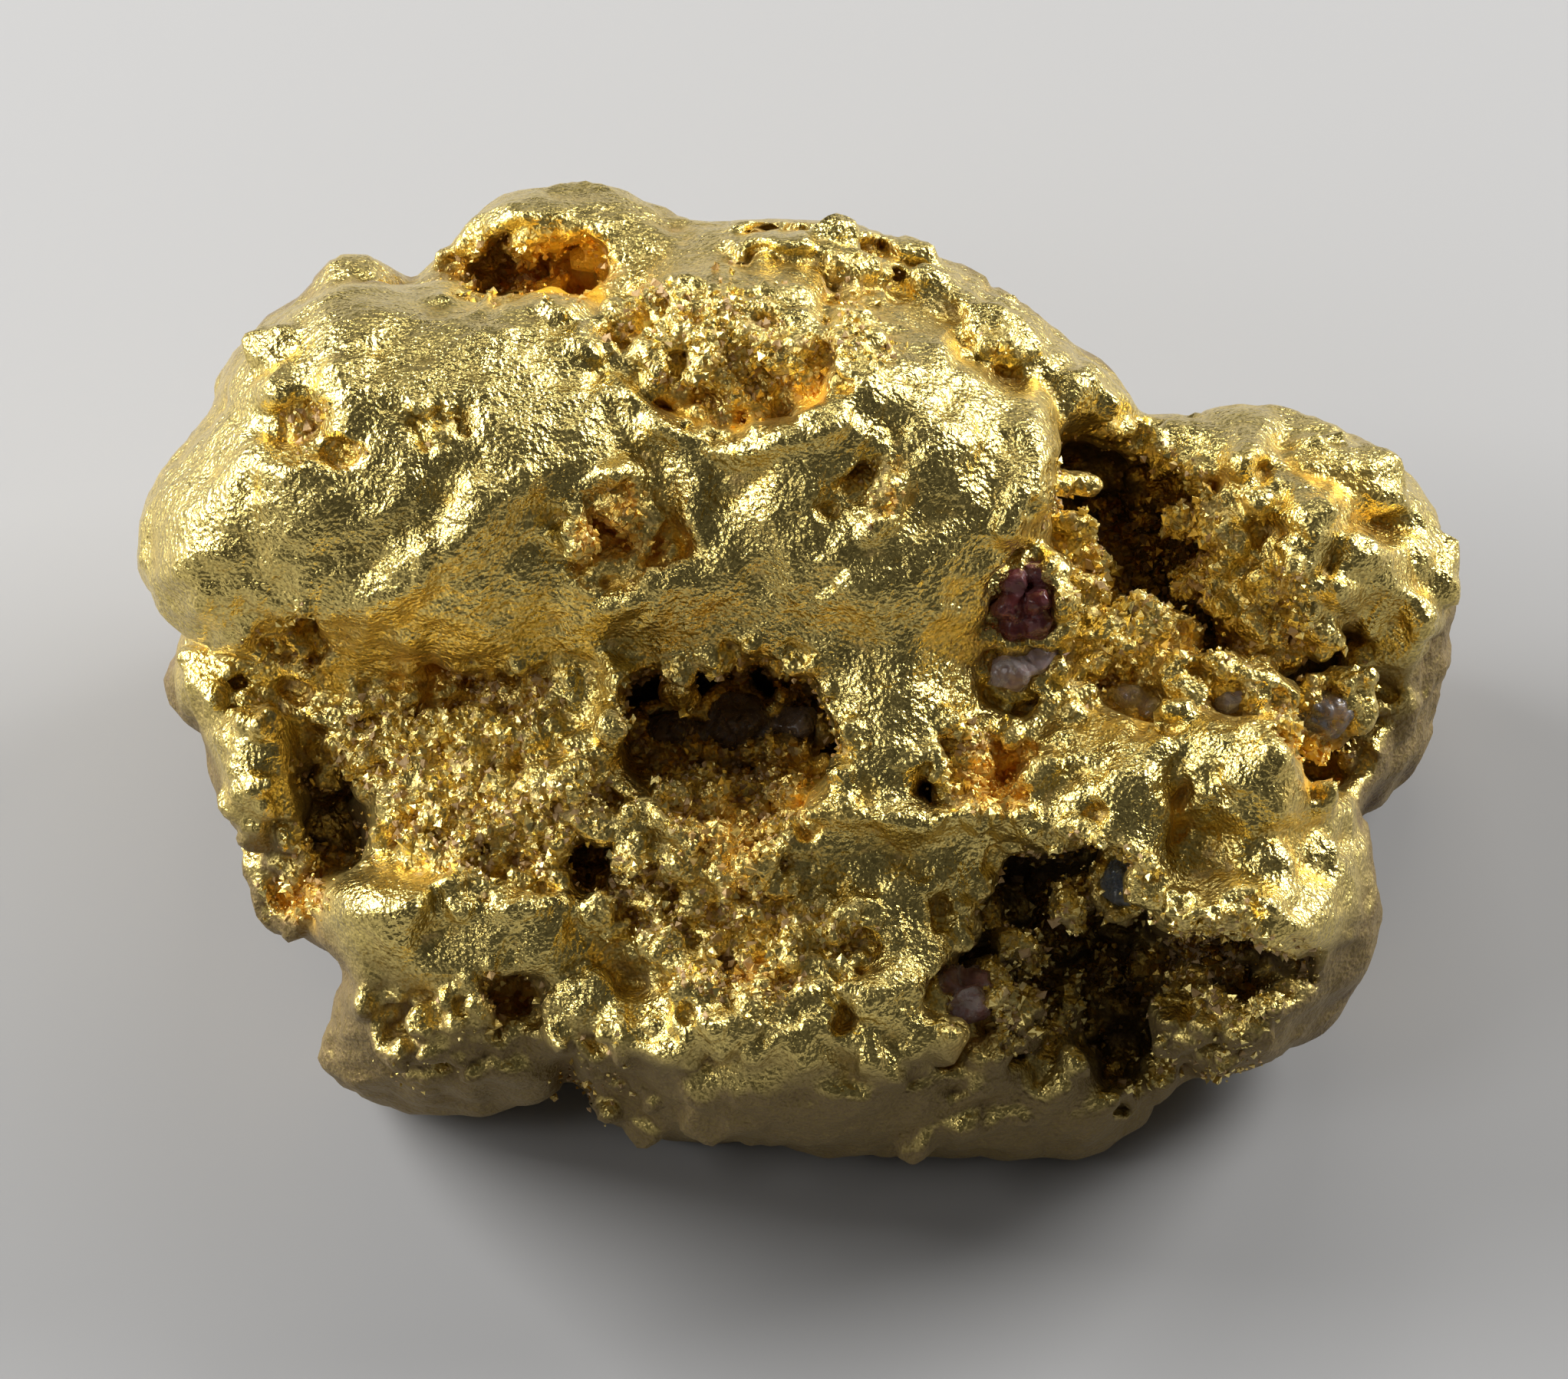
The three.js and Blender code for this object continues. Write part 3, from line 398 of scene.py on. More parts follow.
# Where the skin is a crust of crumbs instead of smooth metal.
CRUSTS = spots(
    (-5.6, -1.9, 1.7), (-4.2, -2.4, 1.2), (-7.0, -1.2, 0.9), (-1.0, -4.5, 1.5), (-2.3, -3.9, 0.9),
    (0.4, -4.6, 0.9, 0.7), (-1.2, -2.2, 1.5), (-1.2, 5.2, 1.2), (-2.5, 5.6, 0.8), (0.9, 5.2, 0.7, 0.6),
    (0.1, 5.0, 0.55), (-2.1, 4.65, 0.45, 0.8), (-2.8, 2.1, 0.8), (-8.1, 3.9, 0.42), (-7.3, 3.3, 0.3, 0.8),
    (-5.7, 3.9, 0.35, 0.6), (1.5, 2.9, 0.6, 0.8), (5.6, 1.6, 1.5), (6.9, 2.2, 0.7, 0.6),
    (5.2, -0.1, 1.0, 0.8), (7.2, -0.2, 0.9, 0.6), (7.0, -5.9, 1.2, 0.5), (4.2, -4.8, 1.6),
    (6.6, -4.9, 1.1), (8.7, -1.2, 0.8), (3.0, -1.7, 0.9), (-8.0, -2.6, 0.9, 0.7), (-8.4, -3.8, 0.6),
    (-4.8, -5.4, 0.7, 0.8), (-4.4, 6.6, 0.8, 0.8), (1.0, 6.3, 0.7, 0.6), (3.2, 5.2, 0.5, 0.6),
    (7.9, 0.7, 0.9, 0.6), (-3.4, -6.8, 0.9, 0.5), (-6.0, -6.2, 1.0, 0.35), (-9.0, -0.7, 0.8, 0.5),
)

# Where light that is caught between gold walls glows amber.
AMBER = spots(
    (-2.7, 2.05, 0.85), (3.3, -1.9, 0.75), (8.3, -1.8, 0.65), (-3.9, 6.6, 0.75), (-1.9, 4.15, 0.35),
    (-0.9, 4.05, 0.35), (0.2, 4.5, 0.35), (0.4, -2.3, 0.7, 0.8), (8.6, 3.3, 0.4, 0.6), (9.2, 2.9, 0.4, 0.6),
    (1.8, 2.8, 0.5, 0.8), (-8.2, -3.9, 0.5, 0.5), (6.2, -2.6, 0.35), (2.9, -6.3, 0.4, 0.8),
    (7.2, 3.0, 0.5, 0.6), (-6.2, -0.4, 0.5, 0.5), (-1.2, -2.9, 0.6, 0.6), (5.4, -1.0, 0.5, 0.6),
    (-0.7, -5.1, 0.35, 0.8), (-4.8, -5.4, 0.5, 0.6), (6.0, 0.3, 0.5, 0.5), (3.0, 0.5, 0.3, 0.6),
)

# Where the skin is a mass of small rounded lumps.
LUMPY = spots(
    (8.3, 2.2, 2.0), (9.8, 0.8, 1.3), (1.4, 6.9, 1.3), (3.6, 5.9, 1.0), (5.4, 4.7, 0.9), (6.0, -0.2, 1.4),
    (9.8, -0.9, 1.0), (10.6, 1.6, 1.6), (7.0, -6.1, 1.1), (-9.6, -0.6, 0.9), (-8.6, -1.7, 1.0, 0.8),
    (8.0, -0.4, 1.2, 0.8), (5.0, -1.6, 1.2, 0.5), (8.2, -2.2, 1.4, 0.5), (4.9, -6.6, 1.0, 0.7),
    (-8.8, 5.4, 0.8, 0.8), (4.0, 3.8, 0.6, 0.7), (10.4, -0.4, 1.3), (-6.2, -6.6, 1.2, 0.25),
    (-1.5, -6.9, 1.8, 0.4), (2.0, -6.9, 1.8, 0.5), (-3.0, -6.4, 1.0, 0.5), (6.6, 3.9, 0.9, 0.9),
    (-8.4, -3.9, 0.8, 0.7), (10.4, 2.4, 0.9, 0.8),
)


def store_values(mesh: bpy.types.Mesh, name: str, values: np.ndarray) -> None:
    """Writes one value for each point of a mesh.

    Args:
        mesh: the mesh.
        name: the values' name.
        values: the values, in the points' order.
    """
    layer = mesh.attributes.new(name, "FLOAT", "POINT")
    layer.data.foreach_set("value", values.astype(np.float32))


def read_values(mesh: bpy.types.Mesh, name: str) -> np.ndarray:
    """Reads one value for each point of a mesh.

    Args:
        mesh: the mesh.
        name: the values' name.

    Returns:
        The values, in the points' order.
    """
    values = np.empty(len(mesh.vertices), np.float32)
    mesh.attributes[name].data.foreach_get("value", values)
    return values


def read_points(mesh: bpy.types.Mesh, what: str) -> np.ndarray:
    """Reads the places or the normals of a mesh's points.

    Args:
        mesh: the mesh.
        what: "co" for places, "normal" for normals.

    Returns:
        One row for each point.
    """
    values = np.empty(len(mesh.vertices) * 3, np.float32)
    mesh.vertices.foreach_get(what, values)
    return values.reshape(-1, 3)


def show_piece(piece: bpy.types.Object, node: str) -> bpy.types.Object:
    """Puts a piece in the scene in place of its solid.

    Args:
        piece: the piece.
        node: the solid that it stands for.

    Returns:
        The same piece.
    """
    bpy.context.scene.collection.objects.link(piece)
    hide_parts(node)
    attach(piece, "root")
    return piece


def soften(values: np.ndarray, reach: float) -> np.ndarray:
    """Blurs a field.

    Args:
        values: the field.
        reach: width of the blur, in cells.

    Returns:
        The blurred field.
    """
    offsets = np.arange(-math.ceil(2.5 * reach), math.ceil(2.5 * reach) + 1)
    weights = np.exp(-((offsets / reach) ** 2) / 2)
    weights /= weights.sum()
    for axis in range(3):
        total = np.zeros_like(values)
        for offset, weight in zip(offsets, weights):
            total += np.float32(weight) * np.roll(values, int(offset), axis)
        values = total
    return values


def skin_of(values: np.ndarray, low: np.ndarray, cell: float) -> tuple[np.ndarray, np.ndarray]:
    """Turns a field of distances into a mesh.

    Args:
        values: the field, below zero inside.
        low: lowest corner of its grid.
        cell: width of a grid cell.

    Returns:
        Points in the grid's frame, and four-sided faces.
    """
    grid = vdb.FloatGrid(1.0)
    grid.copyFromArray(np.clip(values, -1, 1).astype(np.float32))
    grid.transform = vdb.createLinearTransform(voxelSize=cell)
    points, _, quads = grid.convertToPolygons(isovalue=0.0, adaptivity=0.0)
    return points.astype(float) + low, quads


@dataclass
class Noise:
    """Smooth random fields on a grid, at any grain.

    Args:
        shape: number of grid lines along each axis.
        cell: distance of the grid lines, in millimetres.
        seed: start of the random draws.
        random: source of the draws.
    """

    shape: tuple[int, ...]
    cell: float
    seed: int
    random: np.random.Generator = field(init=False)

    def __post_init__(self) -> None:
        """Starts the random draws."""
        self.random = np.random.default_rng(self.seed)

    @staticmethod
    def _weights(count: int, step: float, knots: int) -> np.ndarray:
        """Cubic spline weights of each grid line on the knots.

        Args:
            count: number of grid lines.
            step: distance of the grid lines, in knots.
            knots: number of knots.

        Returns:
            A row of weights for each grid line.
        """
        at = np.arange(count) * step + 1
        base = np.floor(at).astype(int)
        t = at - base
        weights = np.zeros((count, knots), np.float32)
        rows = np.arange(count)
        for offset, value in (
            (-1, (1 - t) ** 3 / 6),
            (0, (3 * t**3 - 6 * t**2 + 4) / 6),
            (1, (-3 * t**3 + 3 * t**2 + 3 * t + 1) / 6),
            (2, t**3 / 6),
        ):
            weights[rows, base + offset] += value
        return weights

    def smooth(self, grain: float) -> np.ndarray:
        """A smooth field.

        Args:
            grain: width of its lumps, in millimetres.

        Returns:
            Values of about -1 to 1 on the grid.
        """
        step = self.cell / (grain / 2)
        knots = [int(count * step) + 5 for count in self.shape]
        values = self.random.standard_normal(knots).astype(np.float32) * 1.4
        for axis, (count, size) in enumerate(zip(self.shape, knots)):
            weights = self._weights(count, step, size)
            values = np.moveaxis(np.tensordot(weights, values, axes=(1, axis)), 0, axis)
        return values

    def layered(self, start: np.ndarray | float, layers: tuple[tuple[float, float], ...]) -> np.ndarray:
        """Adds layers of smooth unevenness, the coarsest first.

        Args:
            start: what they are added to.
            layers: grain and height of each, in millimetres.

        Returns:
            The sum.
        """
        for grain, height in layers:
            start = start + height * self.smooth(grain)
        return start

    def billow(self, grain: float) -> np.ndarray:
        """Rounded lumps with sharp creases between them, about 0 to 1."""
        return np.abs(self.smooth(grain))

    def streaks(self, x: np.ndarray, y: np.ndarray, along: float, across: float, lean: float) -> np.ndarray:
        """Long folds of about -1 to 1.

        Args:
            x: places to the right, in millimetres.
            y: places up, in millimetres.
            along: length of a fold, in millimetres.
            across: width of a fold, in millimetres.
            lean: the folds' direction, in degrees up from the right.

        Returns:
            Values at the places.
        """
        c, s = math.cos(math.radians(lean)), math.sin(math.radians(lean))
        table = self.random.uniform(-1, 1, (256, 256))
        u, v = (x * c + y * s) / along * 2 + 128, (y * c - x * s) / across * 2 + 128
        i, j = np.floor(u).astype(int), np.floor(v).astype(int)
        fu, fv = u - i, v - j
        fu, fv = fu * fu * (3 - 2 * fu), fv * fv * (3 - 2 * fv)
        i, j = i % 255, j % 255
        low = table[i, j] * (1 - fu) + table[i + 1, j] * fu
        high = table[i, j + 1] * (1 - fu) + table[i + 1, j + 1] * fu
        return low * (1 - fv) + high * fv


@dataclass
class Chips:
    """A scatter of small angular shapes.

    Args:
        count: how many at most.
        radii: least and greatest radius, in millimetres.
        lift: how far each stands out, as a part of its radius.
        solid: whether they are added or cut out.
        flats: number of flats that shape each one.
        blend: rounding where one meets the skin, in millimetres.
    """

    count: int
    radii: tuple[float, float]
    lift: float
    solid: bool
    flats: int
    blend: float


# Layers of random unevenness: grain and height of each, in millimetres.
WAVER = ((1.0, 0.15), (0.45, 0.09), (0.25, 0.04))
RAGGED = ((0.6, 0.07), (0.3, 0.07))
PATCHY = ((0.9, 0.35), (0.45, 0.2))
WAVES = ((1.6, 0.085), (0.75, 0.065))
RIPPLES = ((0.38, 0.03),)

# The drawn relief: how deep it reaches under the near skin, and the height of its folds, in millimetres.
RELIEF_REACH = 1.2
FOLD_HEIGHT = 0.1
# How rounded hollows are at their floors and at their rims, and arms at their roots, in millimetres.
FLOOR_ROUND, RIM_ROUND, ROOT_ROUND = 0.9, 0.25, 0.2
ARM_ROOM = 0.3  # how far round an arm it is joined to the metal, in millimetres
# How crusty the rims of hollows are, and how wide that crust is, in millimetres.
RIM_CRUST, RIM_REACH = 0.65, 0.32
# How deep crusty and lumpy places reach under the near skin, in millimetres.
CRUST_REACH = 3.0
# The steepest place that chips are put on: rise of the skin over the way along the face.
STEEPEST = 2.0
# Blur of the coarse solid, and of the fine skin where gaps are told apart, in cells.
SOLID_BLUR, GAP_BLUR = 2.0, 3.0

# Rough gold round each grain of quartz: its way from the grain, the least and greatest height of its chips
# over the grain's middle, in millimetres, and how clear of other lumps they stay, in parts of their radii.
SEAT_GAP, SEAT_HEIGHT, SEAT_CLEAR = 0.04, (-0.35, 0.12), 0.95
# Where a chip's flats lie, where it is rounded off, and the room that it takes, in parts of its radius.
CHIP_FLATS, CHIP_ROUND, CHIP_ROOM = (0.6, 1.2), 1.3, 1.4
# The same for the lumps of quartz, and how rounded the creases between them are, in millimetres.
LUMP_FLATS, LUMP_ROUND, LUMP_ROOM, LUMP_BLEND = (0.72, 0.98), 1.05, 1.5, 0.03
# Unevenness of the quartz: grain and height of each layer, in millimetres.
QUARTZ_ROUGH = ((0.35, 0.03), (0.14, 0.018))

# The marks on the fine mesh, in millimetres unless said otherwise.
LEVEL_REACH, LEVEL_BLUR = 9, 6  # reach of the high places that hollows are measured from, and blur, in cells
FRONT_REACH = 1.5  # how far they reach under an overhang
HOLLOW_FROM, HOLLOW_OVER = 1.0, 2.2  # depth where hollows start, and from there to full strength
GAP_DEPTH, GAP_BAND = 0.1, 0.4  # depth of a full gap, and how far from the skin gaps are looked for
UNDER_TILT = (0.75, 0.5)  # upward lean of the lower faces where painted shade starts, and from there to full strength
UNDER_HEIGHT = (5.4, 1.6)  # the same for the height over the ground
# How far the metal leans where thinning starts, its least and greatest share, and how strongly that tells.
THINNING_TILT, THINNING, THINNING_FORCE = 0.35, (0.12, 0.65), 4.0


@dataclass
class Skin:
    """The gold's fine skin, worked out as a field of distances in the face's frame.

    Args:
        cell: width of a grid cell, in millimetres.
        margin: free space kept round the solid, in millimetres.
        band: how far from the surface distances are kept, in millimetres.
        seed: start of the random draws.
        low: lowest corner of the grid.
        values: the field, below zero in the metal.
        x: places of the grid to the right.
        y: places of the grid up.
        z: places of the grid towards the near side.
        wx: the places to the right, wavered so that drawn shapes look natural.
        wy: the places up, wavered in the same way.
        crust: how crusty each place of the face is, 0 to 1.
        lumpy: how lumpy each place of the face is, 0 to 1.
        amber: how strongly each place glows amber, 0 to 1.
    """

    cell: float = 0.08
    margin: float = 0.6
    band: float = 1.2
    seed: int = 41
    low: np.ndarray = field(init=False)
    values: np.ndarray = field(init=False)
    x: np.ndarray = field(init=False)
    y: np.ndarray = field(init=False)
    z: np.ndarray = field(init=False)
    wx: np.ndarray = field(init=False)
    wy: np.ndarray = field(init=False)
    crust: np.ndarray = field(init=False)
    lumpy: np.ndarray = field(init=False)
    amber: np.ndarray = field(init=False)

    def build(self, source: bpy.types.Object) -> None:
        """Fills the field from the coarse solid, then adds each layer of detail.

        Args:
            source: the coarse solid.
        """
        self._fill(source)
        self.values = soften(self.values, SOLID_BLUR)
        x, y, self.z = (self.low[n] + self.cell * np.arange(self.values.shape[n]) for n in range(3))
        self.x, self.y = x[:, None], y[None, :]
        plane = Noise(self.values.shape[:2], self.cell, self.seed)
        self.wx = plane.layered(self.x, WAVER)
        self.wy = plane.layered(self.y, WAVER)
        share = 0.5 + 0.5 * np.clip(plane.smooth(3.5) * 1.2, -1, 1)
        rising = 0.7 * plane.streaks(self.wx, self.wy, 1.8, 0.6, 35)
        rising = rising + 0.5 * plane.streaks(self.x, self.y, 1.0, 0.4, 60)
        falling = 0.8 * plane.streaks(self.wx, self.wy, 1.2, 0.7, -25)
        falling = falling + 0.4 * plane.streaks(self.x, self.y, 0.7, 0.4, 5)
        folds = share * rising + (1 - share) * falling
        ragged = plane.layered(0, RAGGED)
        patchy = plane.layered(0, PATCHY)
        crust = self._effect(CRUSTS)
        rims = np.min([np.abs(hollow.outline(self.wx, self.wy)) for hollow in HOLLOWS], axis=0)
        crust = np.maximum(crust, RIM_CRUST * np.exp(-((rims / RIM_REACH) ** 2)))
        self.crust = np.clip(crust * (1 + patchy) - 0.08, 0, 1)
        self.amber = self._effect(AMBER)
        self.lumpy = self._effect(LUMPY)
        self._relief(folds)
        self._hollow_out(ragged)
        self._noise()
        self._seat_grains()
        self._stamp()
        self._trim()

    def _effect(self, marks: list[Spot]) -> np.ndarray:
        """The strongest effect of some spots at each place of the face, 0 to 1."""
        return np.clip(np.max([spot.mask(self.wx, self.wy) for spot in marks], axis=0), 0, 1)

    def _fill(self, source: bpy.types.Object) -> None:
        """Works out distances to the coarse solid on a dense grid.

        Args:
            source: the coarse solid.
        """
        mesh = source.data
        points = to_face(read_points(mesh, "co").astype(float)).astype(np.float32)
        mesh.calc_loop_triangles()
        corners = np.empty(len(mesh.loop_triangles) * 3, np.int32)
        mesh.loop_triangles.foreach_get("vertices", corners)
        transform = vdb.createLinearTransform(voxelSize=self.cell)
        grid = vdb.FloatGrid.createLevelSetFromPolygons(
            points,
            triangles=corners.reshape(-1, 3).astype(np.uint32),
            transform=transform,
            halfWidth=self.band / self.cell,
        )
        first = np.floor((points.min(0) - self.margin) / self.cell).astype(int)
        last = np.ceil((points.max(0) + self.margin) / self.cell).astype(int)
        self.values = np.zeros(tuple(last - first), np.float32)
        grid.copyToArray(self.values, ijk=tuple(int(i) for i in first))
        self.low = first * self.cell

    def surface(self) -> np.ndarray:
        """Finds the first metal that is met from the near side.

        Returns:
            Its depth at each place of the face, in millimetres.
        """
        inside = self.values < 0
        top = self.values.shape[2] - 1 - np.argmax(inside[:, :, ::-1], axis=2)
        return np.where(inside.any(axis=2), self.low[2] + self.cell * top, self.low[2]).astype(np.float32)

    def _near(self, depth: float) -> np.ndarray:
        """How close each grid place is to the near skin.

        Args:
            depth: reach of the effect, in millimetres.

        Returns:
            1 at the near skin, falling to 0 deeper or under an overhang.
        """
        away = (self.z[None, None, :] - self.surface()[:, :, None]) / depth
        return np.exp(-(away**2)).astype(np.float32)

    def _relief(self, folds: np.ndarray) -> None:
        """Adds ridges, dents and creases that can be read one by one.

        Args:
            folds: fine folds, from -1 to 1.
        """
        height = sum(stroke.relief(self.wx, self.wy) for stroke in STROKES)
        height = height + FOLD_HEIGHT * folds * (1 - 0.7 * self.crust)
        self.values -= height[:, :, None].astype(np.float32) * self._near(RELIEF_REACH)

    def _hollow_out(self, ragged: np.ndarray) -> None:
        """Cuts deep hollows with rounded floors, then adds the arms that stand in them.

        Args:
            ragged: how far each place of a hollow's edge is moved out, in millimetres.
        """
        for hollow in HOLLOWS:
            mouth = (hollow.outline(self.wx, self.wy) + ragged)[:, :, None].astype(np.float32)
            floor = (hollow.floor - self.z)[None, None, :].astype(np.float32)
            space = -smooth_min(-mouth, -floor, FLOOR_ROUND)
            self.values = -smooth_min(-self.values, space, RIM_ROUND)
        for arm in ARMS:
            start, end = np.array(arm.start), np.array(arm.end)
            along = end - start
            reach = np.linalg.norm(along) / 2 + arm.radius + ARM_ROOM
            window, away = self._window((start + end) / 2, reach)
            away = away + (start + end) / 2 - start
            t = np.clip(away @ along / (along @ along), 0, 1)
            body = np.linalg.norm(away - t[..., None] * along, axis=-1) - arm.radius
            self.values[window] = smooth_min(self.values[window], body.astype(np.float32), ROOT_ROUND)

    def _window(self, centre: np.ndarray, reach: float) -> tuple[tuple[slice, ...], np.ndarray]:
        """The part of the grid round a place.

        Args:
            centre: the place.
            reach: half width of the part, in millimetres.

        Returns:
            The part's slices, and the way from the place to each of its points.
        """
        first = np.maximum(np.floor((centre - reach - self.low) / self.cell).astype(int), 0)
        last = np.minimum(np.ceil((centre + reach - self.low) / self.cell).astype(int) + 1, self.values.shape)
        last = np.maximum(last, first)
        axes = [self.low[n] + self.cell * np.arange(first[n], last[n]) - centre[n] for n in range(3)]
        window = tuple(slice(int(a), int(b)) for a, b in zip(first, last))
        return window, np.stack(np.meshgrid(*axes, indexing="ij"), axis=-1)

    def _noise(self) -> None:
        """Adds hammered waves everywhere, and rounded lumps where the skin is crusty or lumpy."""
        noise = Noise(self.values.shape, self.cell, self.seed)
        crust = self.crust[:, :, None].astype(np.float32) * self._near(CRUST_REACH)
        self.values += noise.layered(0, WAVES)
        self.values += noise.layered(0, RIPPLES)
        self.values += crust * (0.14 * noise.smooth(0.8) - 0.22 * (noise.billow(0.5) - 0.45))
        self.values -= crust * 0.11 * (noise.billow(0.26) - 0.4)
        lumpy = self.lumpy[:, :, None].astype(np.float32) * self._near(CRUST_REACH)
        self.values -= lumpy * (0.11 * (noise.billow(0.9) - 0.45) + 0.05 * (noise.billow(0.45) - 0.45))

    def _seat_grains(self) -> None:
        """Adds rough gold that holds each grain of quartz all round."""
        random = np.random.default_rng(self.seed + 2)
        chips = Chips(14, (0.12, 0.22), 0.0, True, 7, 0.08)
        for grain in GRAINS:
            for lump in grain.lumps:
                for angle in np.arange(0, math.tau, math.tau / chips.count):
                    reach = np.array(lump.radii[:2]) * grain.grow + SEAT_GAP
                    x = lump.at[0] + reach[0] * math.cos(angle)
                    y = lump.at[1] + reach[1] * math.sin(angle)
                    near = lump.at[2] + random.uniform(*SEAT_HEIGHT)
                    clear = min(
                        math.hypot((x - other.at[0]) / other.radii[0], (y - other.at[1]) / other.radii[1])
                        for other in grain.lumps
                    )
                    if clear > SEAT_CLEAR:
                        self._chip(np.array((x, y, near)), random.uniform(*chips.radii), chips, random)

    def _stamp(self) -> None:
        """Adds rounded lumps, then crumbs standing on the crust and small pits in it."""
        random = np.random.default_rng(self.seed + 1)
        for chips, where in (
            (Chips(420, (0.2, 0.48), -0.6, True, 16, 0.16), self.lumpy),
            (Chips(260, (0.16, 0.34), 0.1, False, 7, 0.1), self.crust),
            (Chips(1500, (0.12, 0.26), 0.0, True, 6, 0.07), self.crust),
            (Chips(700, (0.08, 0.18), 0.2, False, 6, 0.07), self.crust),
            (Chips(2200, (0.08, 0.16), 0.25, True, 6, 0.07), self.crust),
        ):
            surface = self.surface()
            where = where * (np.hypot(*np.gradient(surface, self.cell)) < STEEPEST)
            nx, ny = surface.shape
            i = random.integers(4, nx - 4, chips.count * 8)
            j = random.integers(4, ny - 4, chips.count * 8)
            met = (random.random(chips.count * 8) < where[i, j]) & (surface[i, j] > self.low[2] + 1)
            for a, b in zip(i[met][: chips.count], j[met][: chips.count]):
                radius = random.uniform(*chips.radii)
                centre = np.array((self.x[a, 0], self.y[0, b], surface[a, b] + chips.lift * radius))
                self._chip(centre, radius, chips, random)

    def _chip(self, centre: np.ndarray, radius: float, chips: Chips, random: np.random.Generator) -> None:
        """Joins a small angular chip to the metal, or cuts it out.

        Args:
            centre: its middle.
            radius: its radius, in millimetres.
            chips: the scatter that it belongs to.
            random: source of its flats.
        """
        window, away = self._window(centre, CHIP_ROOM * radius + chips.blend)
        if not away.size:
            return
        normals = random.standard_normal((chips.flats, 3))
        normals /= np.linalg.norm(normals, axis=1)[:, None]
        flats = (away @ normals.T - radius * random.uniform(*CHIP_FLATS, chips.flats)).max(axis=-1)
        chip = np.maximum(flats, np.linalg.norm(away, axis=-1) - CHIP_ROUND * radius).astype(np.float32)
        side = 1 if chips.solid else -1
        self.values[window] = side * smooth_min(side * self.values[window], chip, chips.blend)

    def _trim(self) -> None:
        """Keeps the skin inside the solid's box and flat at the ground."""
        x, y, z = self.x[:, :, None], self.y[:, :, None], self.z[None, None, :]
        row_y = y * UP[1] + z * NEAR[1] + FACE_MIDDLE[1]
        row_z = y * UP[2] + z * NEAR[2] + FACE_MIDDLE[2]
        low, high = (np.array(corner) / MM for corner in CAD_BOX)
        across, along = np.abs(x + FACE_MIDDLE[0]) - high[0], np.abs(row_y) - high[1]
        for outside in (low[2] - row_z, row_z - high[2], along, across):
            self.values = np.maximum(self.values, outside.astype(np.float32))

    def bulge(self, points: np.ndarray) -> np.ndarray:
        """How far places of the skin stand out of its own blurred shape.

        Args:
            points: places of the skin, in the face's frame.

        Returns:
            The distances, below zero in gaps.
        """
        soft = soften(np.clip(self.values, -GAP_BAND, GAP_BAND), GAP_BLUR)
        index = np.round((points - self.low) / self.cell).astype(int)
        i, j, k = np.clip(index, 0, np.array(soft.shape) - 1).T
        return soft[i, j, k]


@dataclass
class Socket:
    """A node socket that adds maths nodes when it is used in an expression.

    Args:
        graph: the node tree that it is in.
        socket: Blender's own socket.
    """

    graph: "Graph"
    socket: bpy.types.NodeSocket

    def _math(self, operation: str, *values: object) -> "Socket":
        """Adds a maths node.

        Args:
            operation: Blender's name of the sum.
            values: what it is fed with, sockets or numbers.

        Returns:
            Its result.
        """
        return self.graph.add("ShaderNodeMath", {"operation": operation}, dict(enumerate(values)))

    def __add__(self, other: object) -> "Socket":
        """Sum."""
        return self._math("ADD", self, other)

    __radd__ = __add__

    def __sub__(self, other: object) -> "Socket":
        """Difference."""
        return self._math("SUBTRACT", self, other)

    def __rsub__(self, other: object) -> "Socket":
        """Difference from a number."""
        return self._math("SUBTRACT", other, self)

    def __mul__(self, other: object) -> "Socket":
        """Product."""
        return self._math("MULTIPLY", self, other)

    __rmul__ = __mul__

    def clamp(self) -> "Socket":
        """The value held between 0 and 1."""
        return self.graph.add("ShaderNodeClamp", {}, {"Value": self})

    def band(self, low: float, high: float) -> "Socket":
        """A smooth step.

        Args:
            low: the value that gives 0.
            high: the value that gives 1.

        Returns:
            The step, from 0 to 1.
        """
        settings = {"interpolation_type": "SMOOTHSTEP"}
        inputs = {"Value": self, "From Min": low, "From Max": high, "To Min": 0.0, "To Max": 1.0}
        return self.graph.add("ShaderNodeMapRange", settings, inputs)


